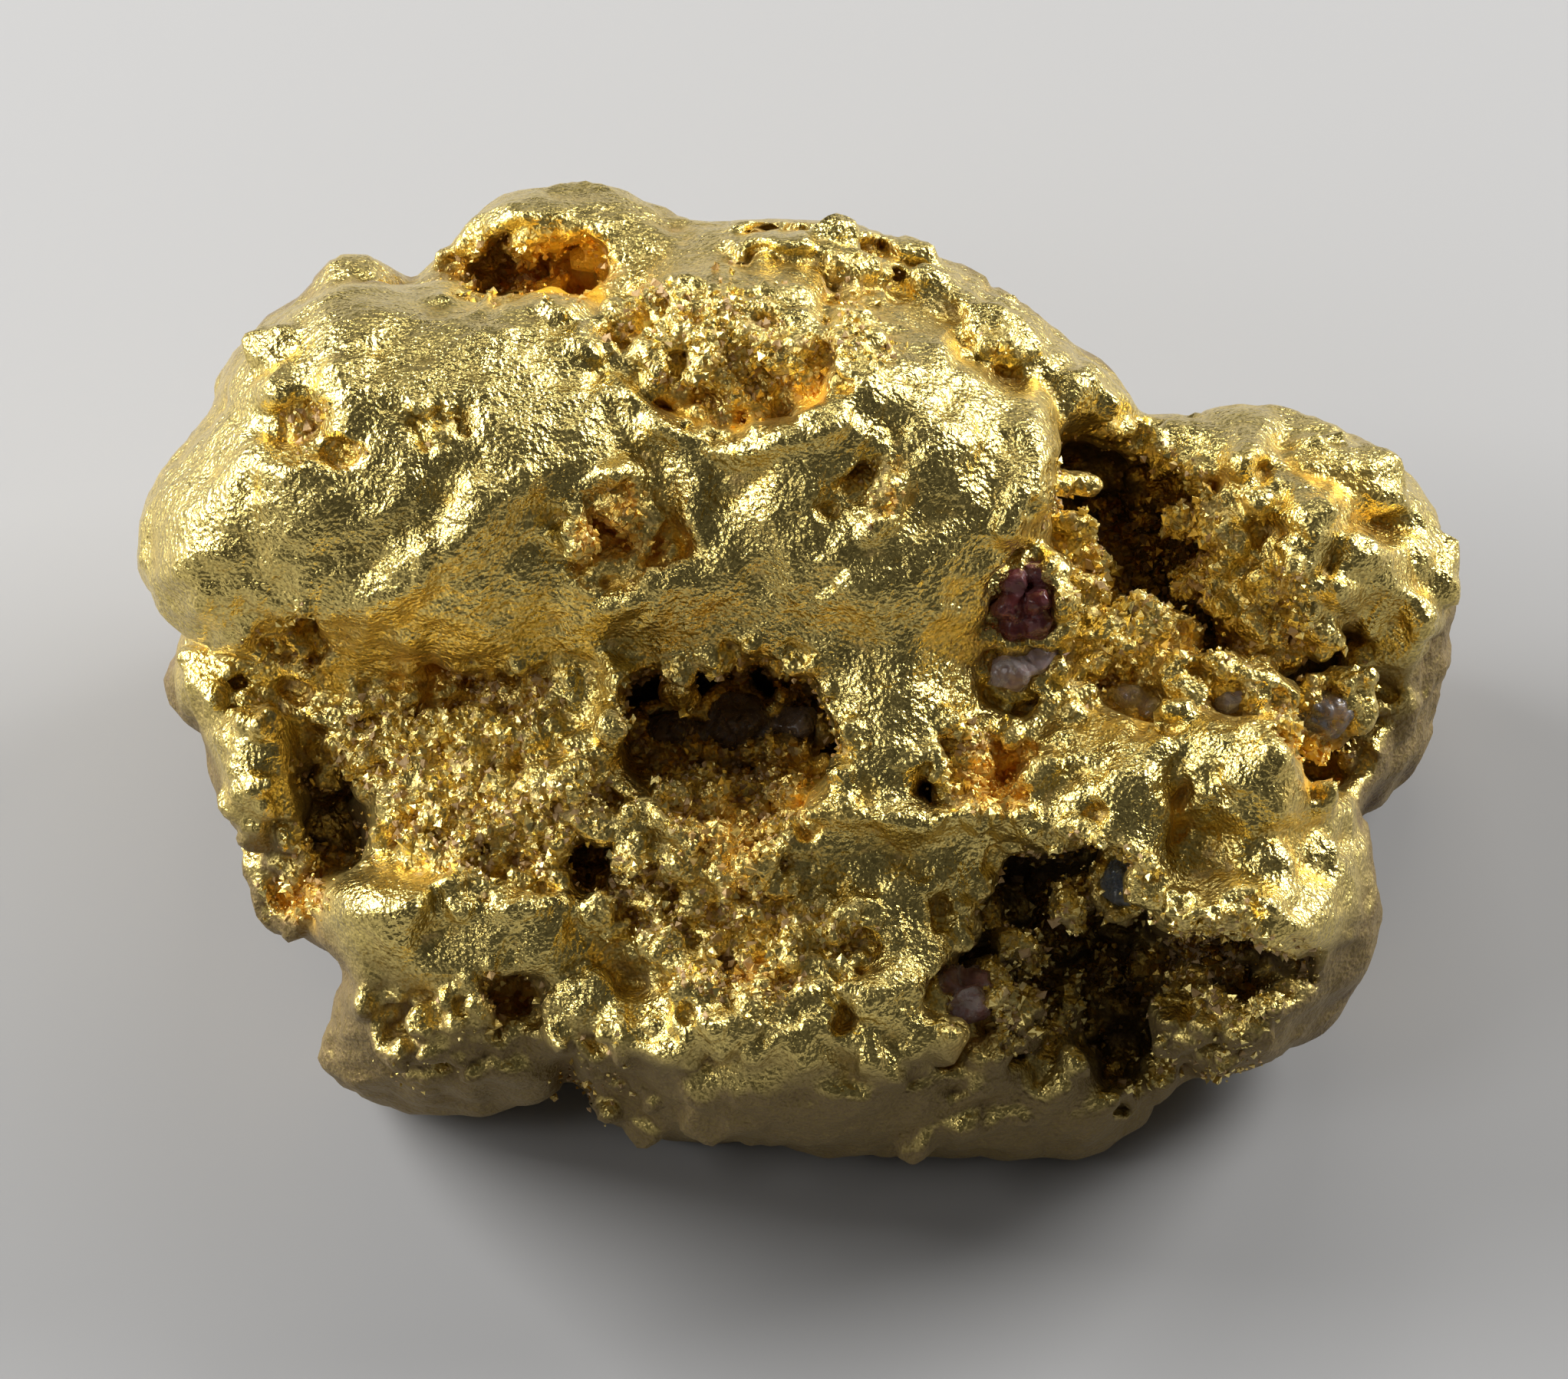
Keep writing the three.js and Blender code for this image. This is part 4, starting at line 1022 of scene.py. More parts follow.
class Graph:
    """A material's node tree, built from expressions."""

    def __init__(self, name: str) -> None:
        """Makes the material with an output and an empty shader.

        Args:
            name: the material's name.
        """
        self.material = bpy.data.materials.new(name)
        self.material.use_nodes = True
        self.tree = self.material.node_tree
        self.tree.nodes.clear()
        self.shader = self.tree.nodes.new("ShaderNodeBsdfPrincipled")
        output = self.tree.nodes.new("ShaderNodeOutputMaterial")
        self.tree.links.new(self.shader.outputs[0], output.inputs["Surface"])

    def add(
        self, kind: str, settings: dict[str, object], inputs: dict[str | int, object], output: str | int = 0
    ) -> Socket:
        """Adds one node.

        Args:
            kind: node type.
            settings: the node's own properties, set first.
            inputs: socket name or place to a value, or to a Socket to link.
            output: name or place of the output that is wanted.

        Returns:
            That output, wrapped.
        """
        node = self.tree.nodes.new(kind)
        for key, value in settings.items():
            setattr(node, key, value)
        for key, value in inputs.items():
            self.feed(node.inputs[key], value)
        return Socket(self, node.outputs[output])

    def feed(self, target: bpy.types.NodeSocket, value: object) -> None:
        """Links or sets one input socket.

        Args:
            target: the input socket.
            value: a number, a colour or a Socket.
        """
        if isinstance(value, Socket):
            self.tree.links.new(value.socket, target)
        else:
            target.default_value = value

    def attribute(self, name: str) -> Socket:
        """A value stored on the mesh's points."""
        return self.add("ShaderNodeAttribute", {"attribute_name": name}, {}, "Fac")

    def place(self) -> Socket:
        """Object position in metres."""
        return self.add("ShaderNodeTexCoord", {}, {}, "Object")

    def noise(self, grain: float, detail: float = 3.0, rough: float = 0.5, warp: float = 0.0) -> Socket:
        """Noise from about 0.3 to 0.7.

        Args:
            grain: width of its lumps, in millimetres.
            detail: number of finer layers.
            rough: strength of each finer layer.
            warp: how much it is distorted.

        Returns:
            The noise.
        """
        inputs = {"Vector": self.place(), "Scale": 1 / (grain * MM), "Detail": detail, "Roughness": rough}
        inputs["Distortion"] = warp
        return self.add("ShaderNodeTexNoise", {}, inputs, "Fac")

    def cells(self, grain: float) -> Socket:
        """Distance to scattered points.

        Args:
            grain: how far apart the points are, in millimetres.

        Returns:
            The distance, as a part of the grain.
        """
        inputs = {"Vector": self.place(), "Scale": 1 / (grain * MM)}
        return self.add("ShaderNodeTexVoronoi", {}, inputs, "Distance")

    def blend(self, amount: object, a: object, b: object) -> Socket:
        """Mixes two colours.

        Args:
            amount: the second colour's share, a number or a Socket.
            a: the first colour.
            b: the second colour.

        Returns:
            The mixed colour.
        """
        return self.add("ShaderNodeMix", {"data_type": "RGBA"}, {0: amount, 6: a, 7: b}, 2)

    def bump(self, height: Socket, depth: float, strength: float = 1.0) -> Socket:
        """A normal from a height.

        Args:
            height: the height, from 0 to 1.
            depth: what a height of 1 stands for, in millimetres.
            strength: how strongly it tells.

        Returns:
            The normal.
        """
        inputs = {"Strength": strength, "Distance": depth * MM, "Height": height}
        return self.add("ShaderNodeBump", {}, inputs, "Normal")

    def finish(self, **inputs: object) -> bpy.types.Material:
        """Feeds the shader's own sockets.

        Args:
            inputs: socket name, with underscores for spaces, to its value.

        Returns:
            The finished material.
        """
        for key, value in inputs.items():
            self.feed(self.shader.inputs[key.replace("_", " ")], value)
        return self.material


Colour = tuple[float, float, float, float]


def rgb(red: float, green: float, blue: float) -> Colour:
    """A linear colour with full alpha."""
    return red, green, blue, 1.0


@dataclass(frozen=True)
class GoldFinish:
    """Native gold: polished on its high places, dusty in the gaps of its crust; painted orange glow and shade
    in hollows and gaps, painted shade on lower faces.

    Args:
        bright: colour of the open metal.
        deep: painted orange of light bounced between gold walls, in hollows and gaps and faintly on the
            crust.
        dust: light dust caught in the crust.
        amber: glow where light is caught between gold walls.
        stain: painted shade deep in the hollows, a dark red-brown.
        underside_shade: painted shade on the low faces that lean downwards.
        shade: the fine dark specks of the satin metal.
        flake: width of the satin's facets, in millimetres.
        flake_rise: their height, in parts of the bump's depth.
        grit: width of the finest grit, in millimetres.
        grit_rise: its height.
        dent: width of the small dents, in millimetres.
        dent_rise: their height.
        roughness: roughness of the open metal.
        speckle: strength of the dark specks.
    """

    bright: Colour = rgb(0.93, 0.725, 0.235)
    deep: Colour = rgb(0.84, 0.53, 0.08)
    dust: Colour = rgb(0.54, 0.38, 0.19)
    amber: Colour = rgb(1.0, 0.56, 0.04)
    stain: Colour = rgb(0.1, 0.035, 0.02)
    underside_shade: Colour = rgb(0.13, 0.075, 0.04)
    shade: Colour = rgb(0.3, 0.22, 0.06)
    flake: float = 0.1
    flake_rise: float = 0.22
    grit: float = 0.05
    grit_rise: float = 0.2
    dent: float = 0.45
    dent_rise: float = 1.05
    roughness: float = 0.28
    speckle: float = 0.55

    def material(self) -> bpy.types.Material:
        """Builds the material.

        Returns:
            The material.
        """
        g = Graph("native_gold")
        crust = g.attribute("crust")
        hollow = g.attribute("hollow")
        gap = g.attribute("gap")
        lit = hollow * 1.6 + gap.band(-0.1, 0.7) * 0.9 + g.noise(0.5, 3) - 0.35
        amber = (g.attribute("amber") * lit).clamp()
        # Painted shade: the low faces that lean downwards are darkened brown in random patches.
        under = (g.attribute("under") * (0.8 + g.noise(0.8, 4, 0.65) * 1.4)).clamp()
        blotch = g.noise(2.2, 3)
        in_gap = gap.band(0.2, 0.9)
        patches = g.noise(0.3, 4, 0.65).band(0.5, 0.66)
        dust = ((crust * 0.75 + in_gap * 0.6 + hollow * 0.2) * (1 - amber * 0.8) * patches).clamp()
        # Painted shade: the deepest hollows are darkened to red-brown in random patches.
        stain = (hollow.band(0.5, 1.1) * g.noise(1.1, 4, 0.6).band(0.44, 0.62)).clamp()
        # Painted light: hollows, gaps and, faintly, the crust take the orange of light bounced between gold
        # walls, in random blotches.
        deep = hollow.band(0.1, 0.8) * (crust * 0.7 + 0.1) + in_gap * 0.5 + crust * 0.1
        deep = (deep + (blotch - 0.5) * 0.25).clamp()
        colour = g.blend(dust * 0.85, g.blend(deep, self.bright, self.deep), self.dust)
        colour = g.blend(under * 0.85, g.blend(stain * 0.8, colour, self.stain), self.underside_shade)
        height = g.cells(self.flake) * self.flake_rise + g.noise(self.grit, 1) * self.grit_rise
        height = height + g.noise(self.dent, 3, 0.6) * self.dent_rise
        rough = self.roughness + crust * 0.1 + (g.noise(0.5, 3) - 0.5) * 0.2
        rough = rough + dust * 0.35 + in_gap * 0.08 + under * 0.25
        specks = g.noise(self.grit, 1).band(0.6, 0.35) * self.speckle
        return g.finish(
            Base_Color=g.blend(amber * 0.85, g.blend(specks, colour, self.shade), self.amber),
            Metallic=1 - (dust * 0.8 + stain * 0.6 + amber * 0.55 + under * 0.5).clamp(),
            Roughness=rough.clamp(),
            Normal=g.bump(height, 0.1),
        )


@dataclass(frozen=True)
class CrumbFinish:
    """Gold crumbs of several shades: bright, coated with dust, and orange, partly at random and partly as
    painted glow in hollows and gaps.

    Args:
        bright: colour of a clean crumb.
        orange: colour of a crumb in a gap, partly random tone and partly painted orange of light bounced
            between gold walls.
        amber: glow where light is caught between gold walls.
        dust: colour of a coated crumb.
    """

    bright: Colour = rgb(0.93, 0.75, 0.27)
    orange: Colour = rgb(0.86, 0.53, 0.09)
    amber: Colour = rgb(1.0, 0.56, 0.04)
    dust: Colour = rgb(0.62, 0.42, 0.2)

    def material(self) -> bpy.types.Material:
        """Builds the material.

        Returns:
            The material.
        """
        g = Graph("gold_crumb")
        tone = g.attribute("tone")
        hollow = g.attribute("hollow")
        gap = g.attribute("gap")
        dust = (tone + gap * 0.2 + (g.noise(0.9, 3) - 0.5) * 0.9).band(0.62, 0.72)
        # Partly random tone, partly painted light: crumbs in hollows and gaps take the orange of light
        # bounced between gold walls.
        orange = (hollow * 0.6 + gap * 0.5 + (g.noise(0.6, 3) - 0.5) * 2.0).clamp()
        amber = g.attribute("amber") * 0.7
        gold = g.blend(dust, g.blend(orange, self.bright, self.orange), self.dust)
        return g.finish(
            Base_Color=g.blend(amber, gold, self.amber),
            Metallic=1 - (dust * 0.85 + amber * 0.5).clamp(),
            Roughness=(0.24 + dust * 0.35 + g.noise(0.2, 2) * 0.2).clamp(),
            Normal=g.bump(g.noise(0.05, 2, 0.6), 0.02, 0.8),
        )


class Clarity(Enum):
    """How clear a grain of quartz is: its transmission."""

    CLEAR = 0.9
    CLOUDY = 0.55
    STAINED = 0.35


@dataclass(frozen=True)
class QuartzFinish:
    """Quartz with its veils.

    Args:
        name: the material's name.
        tint: the colour of its clear parts.
        veil: the colour of its veils.
        clarity: how clear it is.
    """

    name: str
    tint: Colour
    veil: Colour
    clarity: Clarity

    def material(self) -> bpy.types.Material:
        """Builds the material.

        Returns:
            The material.
        """
        g = Graph(self.name)
        veils = g.noise(0.35, 4, 0.6, 1.0).band(0.42, 0.66)
        specks = g.cells(0.12).band(0.1, 0.5)
        return g.finish(
            Base_Color=g.blend(veils, self.tint, self.veil),
            Roughness=(0.12 + veils * 0.25).clamp(),
            Transmission_Weight=self.clarity.value,
            IOR=1.54,
            Normal=g.bump(g.noise(0.15, 4, 0.6) + specks * 0.3, 0.03, 0.7),
        )


STAINED = QuartzFinish("stained_quartz", rgb(0.17, 0.035, 0.035), rgb(0.36, 0.14, 0.15), Clarity.STAINED)
MILKY = QuartzFinish("milky_quartz", rgb(0.7, 0.52, 0.5), rgb(0.88, 0.78, 0.76), Clarity.CLOUDY)
SMOKY = QuartzFinish("smoky_quartz", rgb(0.3, 0.2, 0.13), rgb(0.45, 0.33, 0.24), Clarity.CLOUDY)
LILAC = QuartzFinish("lilac_quartz", rgb(0.6, 0.52, 0.62), rgb(0.8, 0.74, 0.8), Clarity.CLOUDY)
WHITE = QuartzFinish("white_quartz", rgb(0.66, 0.62, 0.62), rgb(0.84, 0.82, 0.84), Clarity.CLEAR)
BLUISH = QuartzFinish("bluish_quartz", rgb(0.52, 0.6, 0.72), rgb(0.76, 0.82, 0.9), Clarity.CLEAR)
REDDISH = QuartzFinish("reddish_quartz", rgb(0.6, 0.3, 0.26), rgb(0.82, 0.66, 0.6), Clarity.CLOUDY)


@dataclass
class Nugget:
    """The gold, with its fine skin dressed over the coarse solid.

    Args:
        node: the coarse solid.
        most_triangles: how many triangles the fine mesh may have.
        finish: the gold's finish.
    """

    node: str = "gold"
    most_triangles: int = 196_000
    finish: GoldFinish = GoldFinish()

    def make(self) -> bpy.types.Object:
        """Builds the fine mesh and its finish.

        Returns:
            The dressed gold.
        """
        skin = Skin()
        skin.build(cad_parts[self.node])
        points, quads = skin_of(skin.values, skin.low, skin.cell)
        mesh = bpy.data.meshes.new("gold_skin")
        places = to_row(points)
        places[:, 2] = np.maximum(places[:, 2], 0)
        mesh.from_pydata(places.tolist(), [], quads.tolist())
        mesh.validate()
        self._paint(mesh, skin, points)
        self._keep_largest(mesh)
        piece = bpy.data.objects.new("gold_skin", mesh)
        bpy.context.scene.collection.objects.link(piece)
        self._thin_out(piece)
        mesh = piece.data
        mesh.polygons.foreach_set("use_smooth", np.ones(len(mesh.polygons), bool))
        mesh.materials.append(self.finish.material())
        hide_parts(self.node)
        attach(piece, "root")
        return piece

    def _paint(self, mesh: bpy.types.Mesh, skin: Skin, points: np.ndarray) -> None:
        """Stores on each point how crusty and hollow its place is, its amber glow, its gaps, and the painted
        shade of its lower faces.

        Args:
            mesh: the fine mesh.
            skin: the field that it was made from.
            points: the mesh's points, in the face's frame.
        """
        i, j = (
            np.clip(((points[:, n] - skin.low[n]) / skin.cell).astype(int), 0, skin.crust.shape[n] - 1)
            for n in (0, 1)
        )
        surface = skin.surface()
        wide = surface.copy()
        for axis in (0, 1):
            wide = np.max([np.roll(wide, n, axis) for n in range(-LEVEL_REACH, LEVEL_REACH + 1)], axis=0)
        for axis in (0, 1):
            wide = np.mean([np.roll(wide, n, axis) for n in range(-LEVEL_BLUR, LEVEL_BLUR + 1)], axis=0)
        below = wide[i, j] - points[:, 2]
        front = np.exp(-(np.maximum(surface[i, j] - points[:, 2], 0) / FRONT_REACH) ** 2)
        down = np.clip((UNDER_TILT[0] - read_points(mesh, "normal")[:, 2]) / UNDER_TILT[1], 0, 1)
        low = np.clip((UNDER_HEIGHT[0] - to_row(points)[:, 2] / MM) / UNDER_HEIGHT[1], 0, 1)
        store_values(mesh, "crust", skin.crust[i, j] * front)
        store_values(mesh, "amber", skin.amber[i, j] * front)
        store_values(mesh, "hollow", np.clip((below - HOLLOW_FROM) / HOLLOW_OVER, 0, 1) * front)
        store_values(mesh, "gap", np.clip(-skin.bulge(points) / GAP_DEPTH, -1, 1))
        # Painted shade on the low faces that lean downwards.
        store_values(mesh, "under", down * low)

    @staticmethod
    def _keep_largest(mesh: bpy.types.Mesh) -> None:
        """Drops loose specks, so that the skin is one piece.

        Args:
            mesh: the fine mesh.
        """
        edges = np.empty(len(mesh.edges) * 2, np.int32)
        mesh.edges.foreach_get("vertices", edges)
        edges = edges.reshape(-1, 2)
        label = np.arange(len(mesh.vertices))
        while True:
            lower = np.minimum(label[edges[:, 0]], label[edges[:, 1]])
            new = label.copy()
            np.minimum.at(new, edges[:, 0], lower)
            np.minimum.at(new, edges[:, 1], lower)
            new = new[new]
            if (new == label).all():
                break
            label = new
        loose = np.flatnonzero(label != np.bincount(label).argmax())
        if len(loose):
            work = bmesh.new()
            work.from_mesh(mesh)
            work.verts.ensure_lookup_table()
            bmesh.ops.delete(work, geom=[work.verts[int(n)] for n in loose], context="VERTS")
            work.to_mesh(mesh)
            work.free()
        LOG.info("dropped %d loose points", len(loose))

    def _thin_out(self, piece: bpy.types.Object) -> None:
        """Makes the hidden back and underside coarser, where fewer triangles do.

        Args:
            piece: the dressed gold.
        """
        mesh = piece.data
        triangles = 2 * len(mesh.polygons)
        LOG.info("skin has %d triangles before thinning", triangles)
        if triangles <= self.most_triangles:
            return
        facing = read_points(mesh, "normal") @ NEAR
        weight = np.clip(THINNING_TILT - facing, *THINNING) * (1 - read_values(mesh, "crust"))
        group = piece.vertex_groups.new(name="thin")
        levels = np.round(weight * 10).astype(int)
        for level in range(1, 11):
            group.add(np.flatnonzero(levels == level).tolist(), level / 10, "REPLACE")
        modifier = piece.modifiers.new("thin", "DECIMATE")
        modifier.ratio = self.most_triangles / triangles
        modifier.vertex_group = group.name
        modifier.vertex_group_factor = THINNING_FORCE
        made = bpy.data.meshes.new_from_object(piece.evaluated_get(bpy.context.evaluated_depsgraph_get()))
        piece.modifiers.clear()
        piece.vertex_groups.clear()
        piece.data = made
        made.name = "gold_skin"


@dataclass
class Crumbs:
    """Fine angular crumbs grown on the crust, joined into one mesh.

    Args:
        count: how many there are.
        sizes: least and greatest radius, in millimetres.
        sunk: how far each sits in the skin, as a part of its radius.
        scatter: how far each strays from its place, in millimetres.
        seed: start of the random draws.
    """

    count: int = 20_000
    sizes: tuple[float, float] = (0.03, 0.11)
    sunk: float = 0.25
    scatter: float = 0.04
    seed: int = 77

    def make(self, skin: bpy.types.Object) -> bpy.types.Object:
        """Builds the crumbs on the dressed gold.

        Args:
            skin: the dressed gold.

        Returns:
            The crumbs, as one piece.
        """
        random = np.random.default_rng(self.seed)
        values = {name: read_values(skin.data, name) for name in ("crust", "hollow", "gap", "amber")}
        crust = values["crust"]
        chance = np.clip(crust * 1.3 - 0.12, 0, 1) * (0.35 + random.random(len(crust)))
        chosen = random.choice(len(crust), self.count, p=chance / chance.sum())
        spread = random.random(self.count) ** 2
        least, greatest = self.sizes
        radius = (least + (greatest - least) * spread) * (0.6 + 0.4 * crust[chosen]) * MM
        centre = read_points(skin.data, "co")[chosen].astype(float)
        centre += random.normal(0, self.scatter * MM, centre.shape)
        centre -= read_points(skin.data, "normal")[chosen] * (radius * self.sunk)[:, None]
        points, faces = self._shapes(centre, radius, random)
        mesh = bpy.data.meshes.new("gold_crumbs")
        mesh.from_pydata(points.tolist(), [], faces.tolist())
        each = len(points) // self.count
        for name, value in values.items():
            store_values(mesh, name, np.repeat(value[chosen], each))
        store_values(mesh, "tone", np.repeat(random.random(self.count), each))
        mesh.materials.append(CrumbFinish().material())
        return show_piece(bpy.data.objects.new("gold_crumbs", mesh), "gold")

    def _shapes(
        self, centre: np.ndarray, radius: np.ndarray, random: np.random.Generator
    ) -> tuple[np.ndarray, np.ndarray]:
        """Shapes each crumb as an uneven body of six corners and eight flats.

        Args:
            centre: the crumbs' middles.
            radius: their radii.
            random: source of their shapes and turns.

        Returns:
            Points and three-sided faces.
        """
        corners = np.concatenate((np.eye(3), -np.eye(3)))
        shape = corners[None] * random.uniform(0.7, 1.3, (self.count, len(corners), 1))
        shape += random.normal(0, 0.22, shape.shape)
        turns = np.linalg.qr(random.standard_normal((self.count, 3, 3)))[0]
        shape = shape @ turns * radius[:, None, None] + centre[:, None, :]
        flats = np.array([(x, y, z) for x in (0, 3) for y in (1, 4) for z in (2, 5)])
        inward = np.array([np.linalg.det(corners[flat]) < 0 for flat in flats])
        flats[inward] = flats[inward][:, ::-1]
        faces = flats[None] + len(corners) * np.arange(self.count)[:, None, None]
        mirrored = np.linalg.det(turns) < 0
        faces[mirrored] = faces[mirrored][:, :, ::-1]
        return shape.reshape(-1, 3), faces.reshape(-1, 3)


@dataclass
class Lump:
    """One angular lump of a grain.

    Args:
        at: its middle in the face's frame, in millimetres.
        radii: its radii to the right, up and near.
        roll: its turn on the face, in degrees.
    """

    at: tuple[float, float, float]
    radii: tuple[float, float, float]
    roll: float = 0.0

    def distances(self, grid: np.ndarray, grow: float, flats: int, seed: int) -> np.ndarray:
        """The lump as the space behind flats that face every way.

        Args:
            grid: places in the face's frame.
            grow: how much larger than its radii the lump is made.
            flats: number of its flats.
            seed: start of the random draws.

        Returns:
            The distance of each place to the lump, below zero inside.
        """
        c, s = math.cos(math.radians(self.roll)), math.sin(math.radians(self.roll))
        turn = np.array(((c, s, 0), (-s, c, 0), (0, 0, 1)))
        local = (grid - np.array(self.at)) @ turn.T / (np.array(self.radii) * grow)
        random = np.random.default_rng(seed)
        values = np.full(local.shape[:3], -FAR)
        for _ in range(flats):
            normal = random.standard_normal(3)
            normal /= np.linalg.norm(normal)
            values = np.maximum(values, local @ normal - random.uniform(*LUMP_FLATS))
        return np.maximum(values, np.linalg.norm(local, axis=-1) - LUMP_ROUND) * min(self.radii)


@dataclass
class Grain:
    """A caught grain of quartz, as a small block of distances cut by flats.

    Args:
        node: the solid that it stands for.
        slot: its material slot; not used.
        lumps: the lumps that it is made of.
        finish: its finish.
        cell: width of a grid cell, in millimetres.
        flats: number of flats on each lump.
        grow: how much larger than its radii each lump is made.
    """

    node: str
    slot: str
    lumps: list[Lump]
    finish: QuartzFinish
    cell: float = 0.025
    flats: int = 12
    grow: float = 1.1

    def make(self) -> bpy.types.Object:
        """Builds the grain's mesh and its finish.

        Returns:
            The grain.
        """
        seed = sum(map(ord, self.node))
        low = np.min([np.array(lump.at) - max(lump.radii) * LUMP_ROOM for lump in self.lumps], axis=0)
        high = np.max([np.array(lump.at) + max(lump.radii) * LUMP_ROOM for lump in self.lumps], axis=0)
        shape = tuple(np.ceil((high - low) / self.cell).astype(int))
        axes = [low[n] + self.cell * np.arange(shape[n]) for n in range(3)]
        grid = np.stack(np.meshgrid(*axes, indexing="ij"), axis=-1)
        values = np.full(shape, FAR)
        for number, lump in enumerate(self.lumps):
            away = lump.distances(grid, self.grow, self.flats, seed + number)
            values = smooth_min(values, away, LUMP_BLEND)
        values = Noise(shape, self.cell, seed).layered(values, QUARTZ_ROUGH)
        points, quads = skin_of(values, low, self.cell)
        mesh = bpy.data.meshes.new(self.node)
        mesh.from_pydata(to_row(points).tolist(), [], quads.tolist())
        mesh.polygons.foreach_set("use_smooth", np.ones(len(mesh.polygons), bool))
        mesh.materials.append(self.finish.material())
        return show_piece(bpy.data.objects.new(f"{self.node}_grain", mesh), self.node)


GRAINS = [
    Grain("stained_quartz", "stained_quartz", [
        Lump((3.95, 1.5, 2.5), (0.3, 0.26, 0.35), -20), Lump((3.55, 1.35, 2.7), (0.26, 0.24, 0.3), 30),
        Lump((3.95, 1.1, 2.6), (0.32, 0.26, 0.36), 15), Lump((3.5, 0.98, 2.62), (0.3, 0.28, 0.34), -35),
        Lump((3.9, 0.72, 2.45), (0.32, 0.26, 0.36), 50), Lump((3.5, 0.62, 2.4), (0.26, 0.22, 0.3)),
    ], STAINED),
    Grain("milky_quartz", "milky_quartz", [
        Lump((3.55, -0.1, 2.15), (0.4, 0.34, 0.42), 20), Lump((3.95, 0.1, 2.1), (0.3, 0.24, 0.34), 60),
        Lump((4.2, 0.2, 2.0), (0.24, 0.17, 0.28), 20),
    ], MILKY),
    Grain("hollow_quartz", "hollow_quartz", [
        Lump((-2.15, -1.1, 0.1), (0.46, 0.36, 0.46), 10), Lump((-1.6, -1.15, -0.1), (0.34, 0.3, 0.4), 50),
        Lump((-1.0, -0.95, 0.05), (0.5, 0.46, 0.5)), Lump((-0.5, -1.1, -0.15), (0.34, 0.3, 0.4), 30),
        Lump((-0.05, -0.95, 0.0), (0.4, 0.34, 0.42), -15),
    ], SMOKY),
    Grain("ridge_quartz", "clear_quartz", [
        Lump((5.5, -0.55, 1.6), (0.34, 0.22, 0.34), -30), Lump((5.8, -0.7, 1.55), (0.26, 0.18, 0.3), 10),
    ], WHITE),
    Grain("lilac_quartz", "clear_quartz", [
        Lump((7.15, -0.6, 1.5), (0.28, 0.26, 0.34)), Lump((7.35, -0.5, 1.4), (0.2, 0.2, 0.3), 40),
    ], LILAC),
    Grain("white_quartz", "clear_quartz", [
        Lump((8.6, -0.85, 0.15), (0.42, 0.34, 0.46), -20), Lump((8.85, -0.7, 0.05), (0.34, 0.32, 0.4), 40),
    ], WHITE),
    Grain("cleft_quartz", "clear_quartz", [
        Lump((5.3, -3.6, 1.85), (0.28, 0.4, 0.4), 10), Lump((5.35, -3.25, 1.8), (0.2, 0.24, 0.3), -20),
    ], BLUISH),
    Grain("bar_quartz", "milky_quartz", [
        Lump((2.75, -5.5, 2.5), (0.5, 0.34, 0.5), 8), Lump((2.5, -5.2, 2.5), (0.34, 0.3, 0.4), 50),
        Lump((3.0, -5.2, 2.45), (0.3, 0.26, 0.36), -30),
    ], REDDISH),
]


@dataclass
class Softbox:
    """A rectangular studio light that faces the nugget.

    Args:
        azimuth: where it stands, in degrees: 0 is in front, 90 to the right.
        elevation: its height, in degrees.
        size: its width and height, in metres.
        watts: its power.
        away: its distance, in metres.
    """

    azimuth: float
    elevation: float
    size: tuple[float, float]
    watts: float
    away: float = 0.16

    def make(self) -> None:
        """Adds the light."""
        light = bpy.data.lights.new("softbox", "AREA")
        light.shape = "RECTANGLE"
        light.size, light.size_y = self.size
        light.energy = self.watts
        azimuth, elevation = math.radians(self.azimuth), math.radians(self.elevation)
        across = math.cos(elevation)
        way = Vector((math.sin(azimuth) * across, -math.cos(azimuth) * across, math.sin(elevation)))
        lamp = bpy.data.objects.new("softbox", light)
        lamp.location = way * self.away + Vector((0, 0, 0.005))
        lamp.rotation_euler = way.to_track_quat("Z", "Y").to_euler()
        bpy.context.scene.collection.objects.link(lamp)


SOFTBOXES = [
    Softbox(-112, 25, (0.11, 0.06), 0.38),
    Softbox(122, 25, (0.08, 0.06), 0.28),
    Softbox(-60, 42, (0.05, 0.05), 0.03),
    Softbox(172, 46, (0.08, 0.05), 0.035),
]


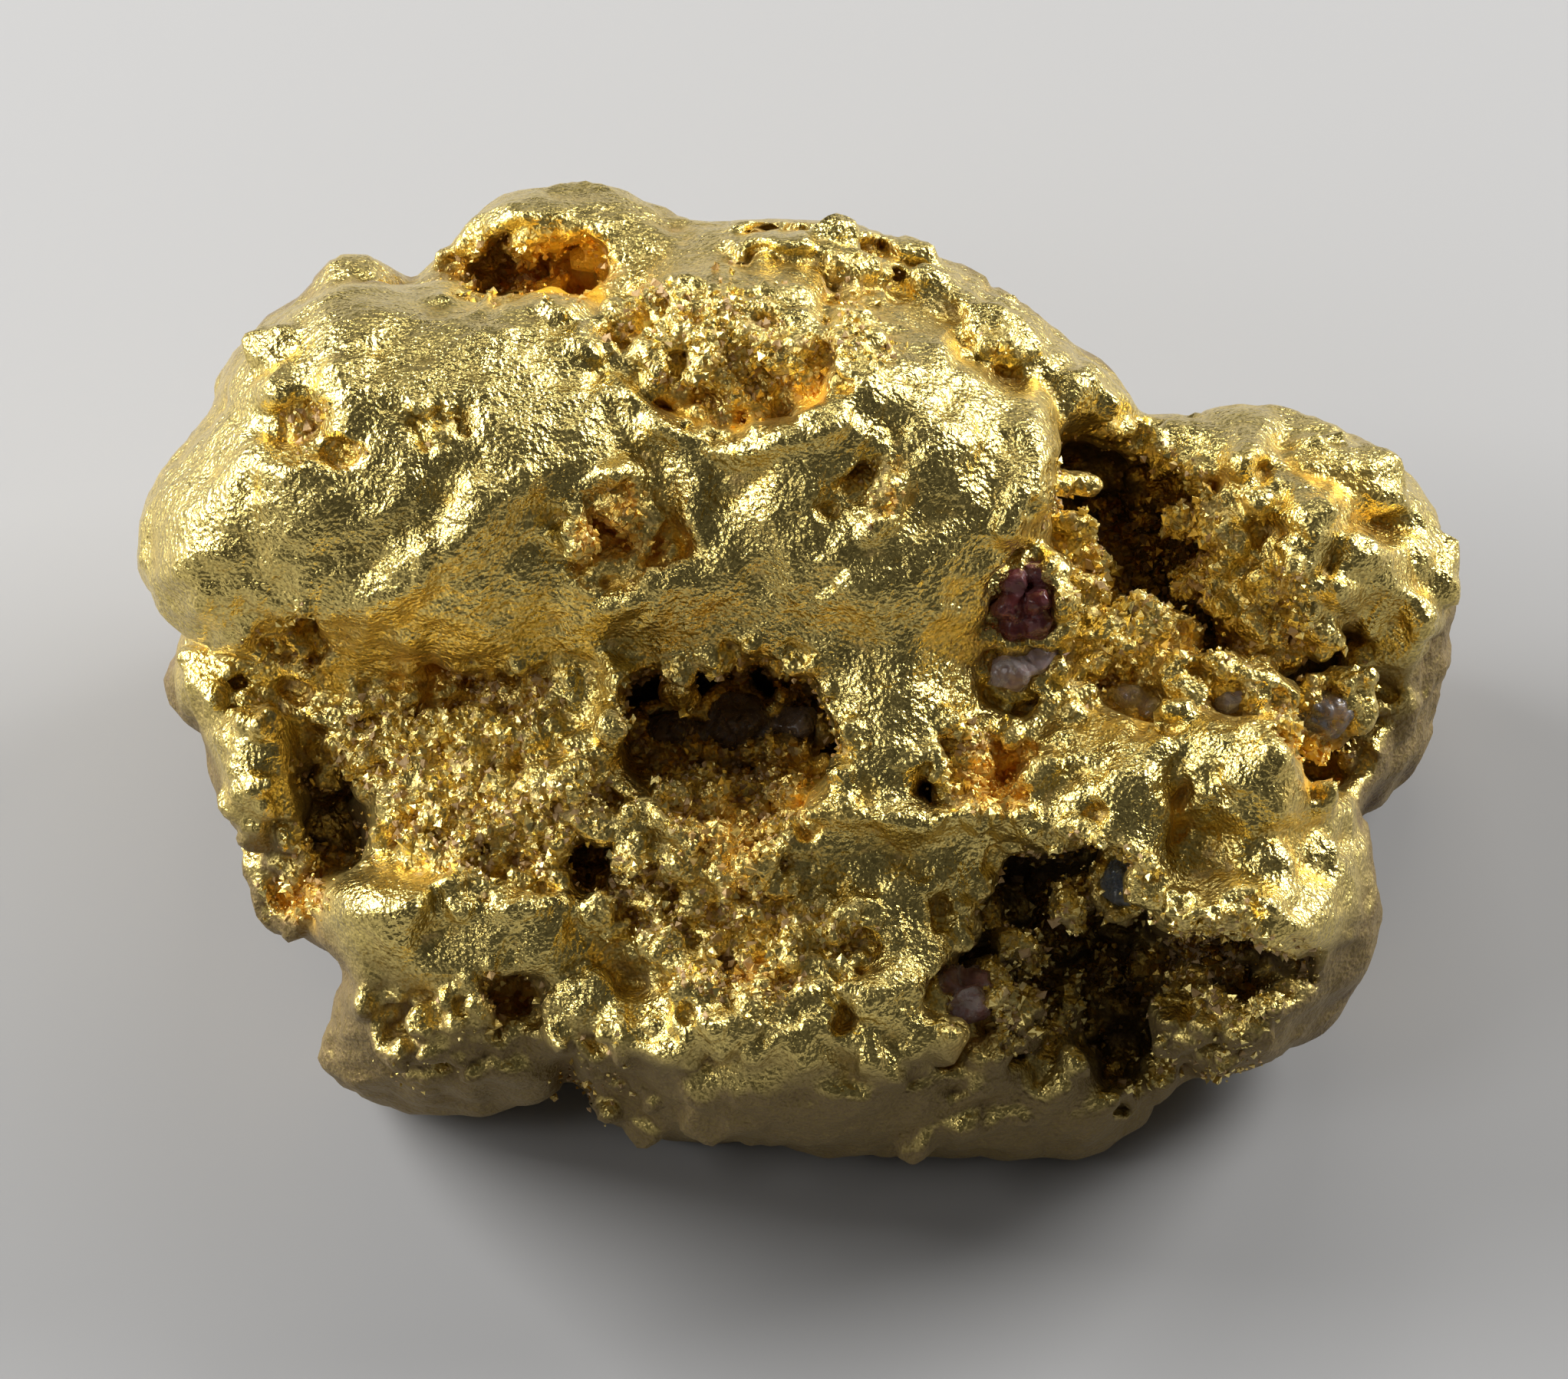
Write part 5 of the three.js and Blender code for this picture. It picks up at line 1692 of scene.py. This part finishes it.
@dataclass
class Studio:
    """Pale floor, soft lights, and the camera square to the leaning face.

    Args:
        distance: from the face to the camera, in metres.
        view_width: width of the view at the face, in millimetres.
        view_middle: the view's middle on the face, right and up, in millimetres.
        sensor: width of the camera's sensor, in millimetres.
        ambience: strength of the even light.
        floor_reach: half width of the floor, in metres.
    """

    distance: float = 0.3
    view_width: float = 25.9
    view_middle: tuple[float, float] = (-0.215, -0.38)
    sensor: float = 36.0
    ambience: float = 0.06
    floor_reach: float = 0.6

    def make(self) -> None:
        """Builds the stage."""
        self._floor()
        self._world()
        self._camera()
        for softbox in SOFTBOXES:
            softbox.make()

    def _floor(self) -> None:
        """A plain pale floor."""
        mesh = bpy.data.meshes.new("floor")
        half = self.floor_reach
        corners = [(-half, -half, 0), (half, -half, 0), (half, half, 0), (-half, half, 0)]
        mesh.from_pydata(corners, [], [(0, 1, 2, 3)])
        g = Graph("floor")
        mesh.materials.append(g.finish(Base_Color=rgb(0.45, 0.446, 0.442), Roughness=0.75))
        floor = bpy.data.objects.new("floor", mesh)
        bpy.context.scene.collection.objects.link(floor)

    def _world(self) -> None:
        """Even dim light from all round."""
        world = bpy.data.worlds.new("studio")
        world.use_nodes = True
        background = world.node_tree.nodes["Background"]
        background.inputs["Color"].default_value = rgb(1, 1, 1)
        background.inputs["Strength"].default_value = self.ambience
        bpy.context.scene.world = world
        bpy.context.scene.view_settings.view_transform = "Standard"

    def _camera(self) -> None:
        """The camera, looking straight at the face from near."""
        camera = bpy.data.cameras.new("camera")
        camera.sensor_width = self.sensor
        camera.lens = self.sensor * self.distance / (self.view_width * MM)
        piece = bpy.data.objects.new("camera", camera)
        middle = to_row(np.array((*self.view_middle, 0.0)))
        place = Vector((middle + NEAR * self.distance).tolist())
        axes = Matrix((RIGHT.tolist(), UP.tolist(), NEAR.tolist())).transposed()
        piece.matrix_world = Matrix.Translation(place) @ axes.to_4x4()
        bpy.context.scene.collection.objects.link(piece)
        bpy.context.scene.camera = piece


def main() -> None:
    """Builds every piece in order, then the stage."""
    logging.basicConfig(level=logging.INFO, format="%(name)s: %(message)s")
    skin = Nugget().make()
    pieces = [skin, Crumbs().make(skin)] + [grain.make() for grain in GRAINS]
    for piece in pieces:
        LOG.info("%s: %d faces", piece.name, len(piece.data.polygons))
    Studio().make()


if __name__ == "__main__":
    main()
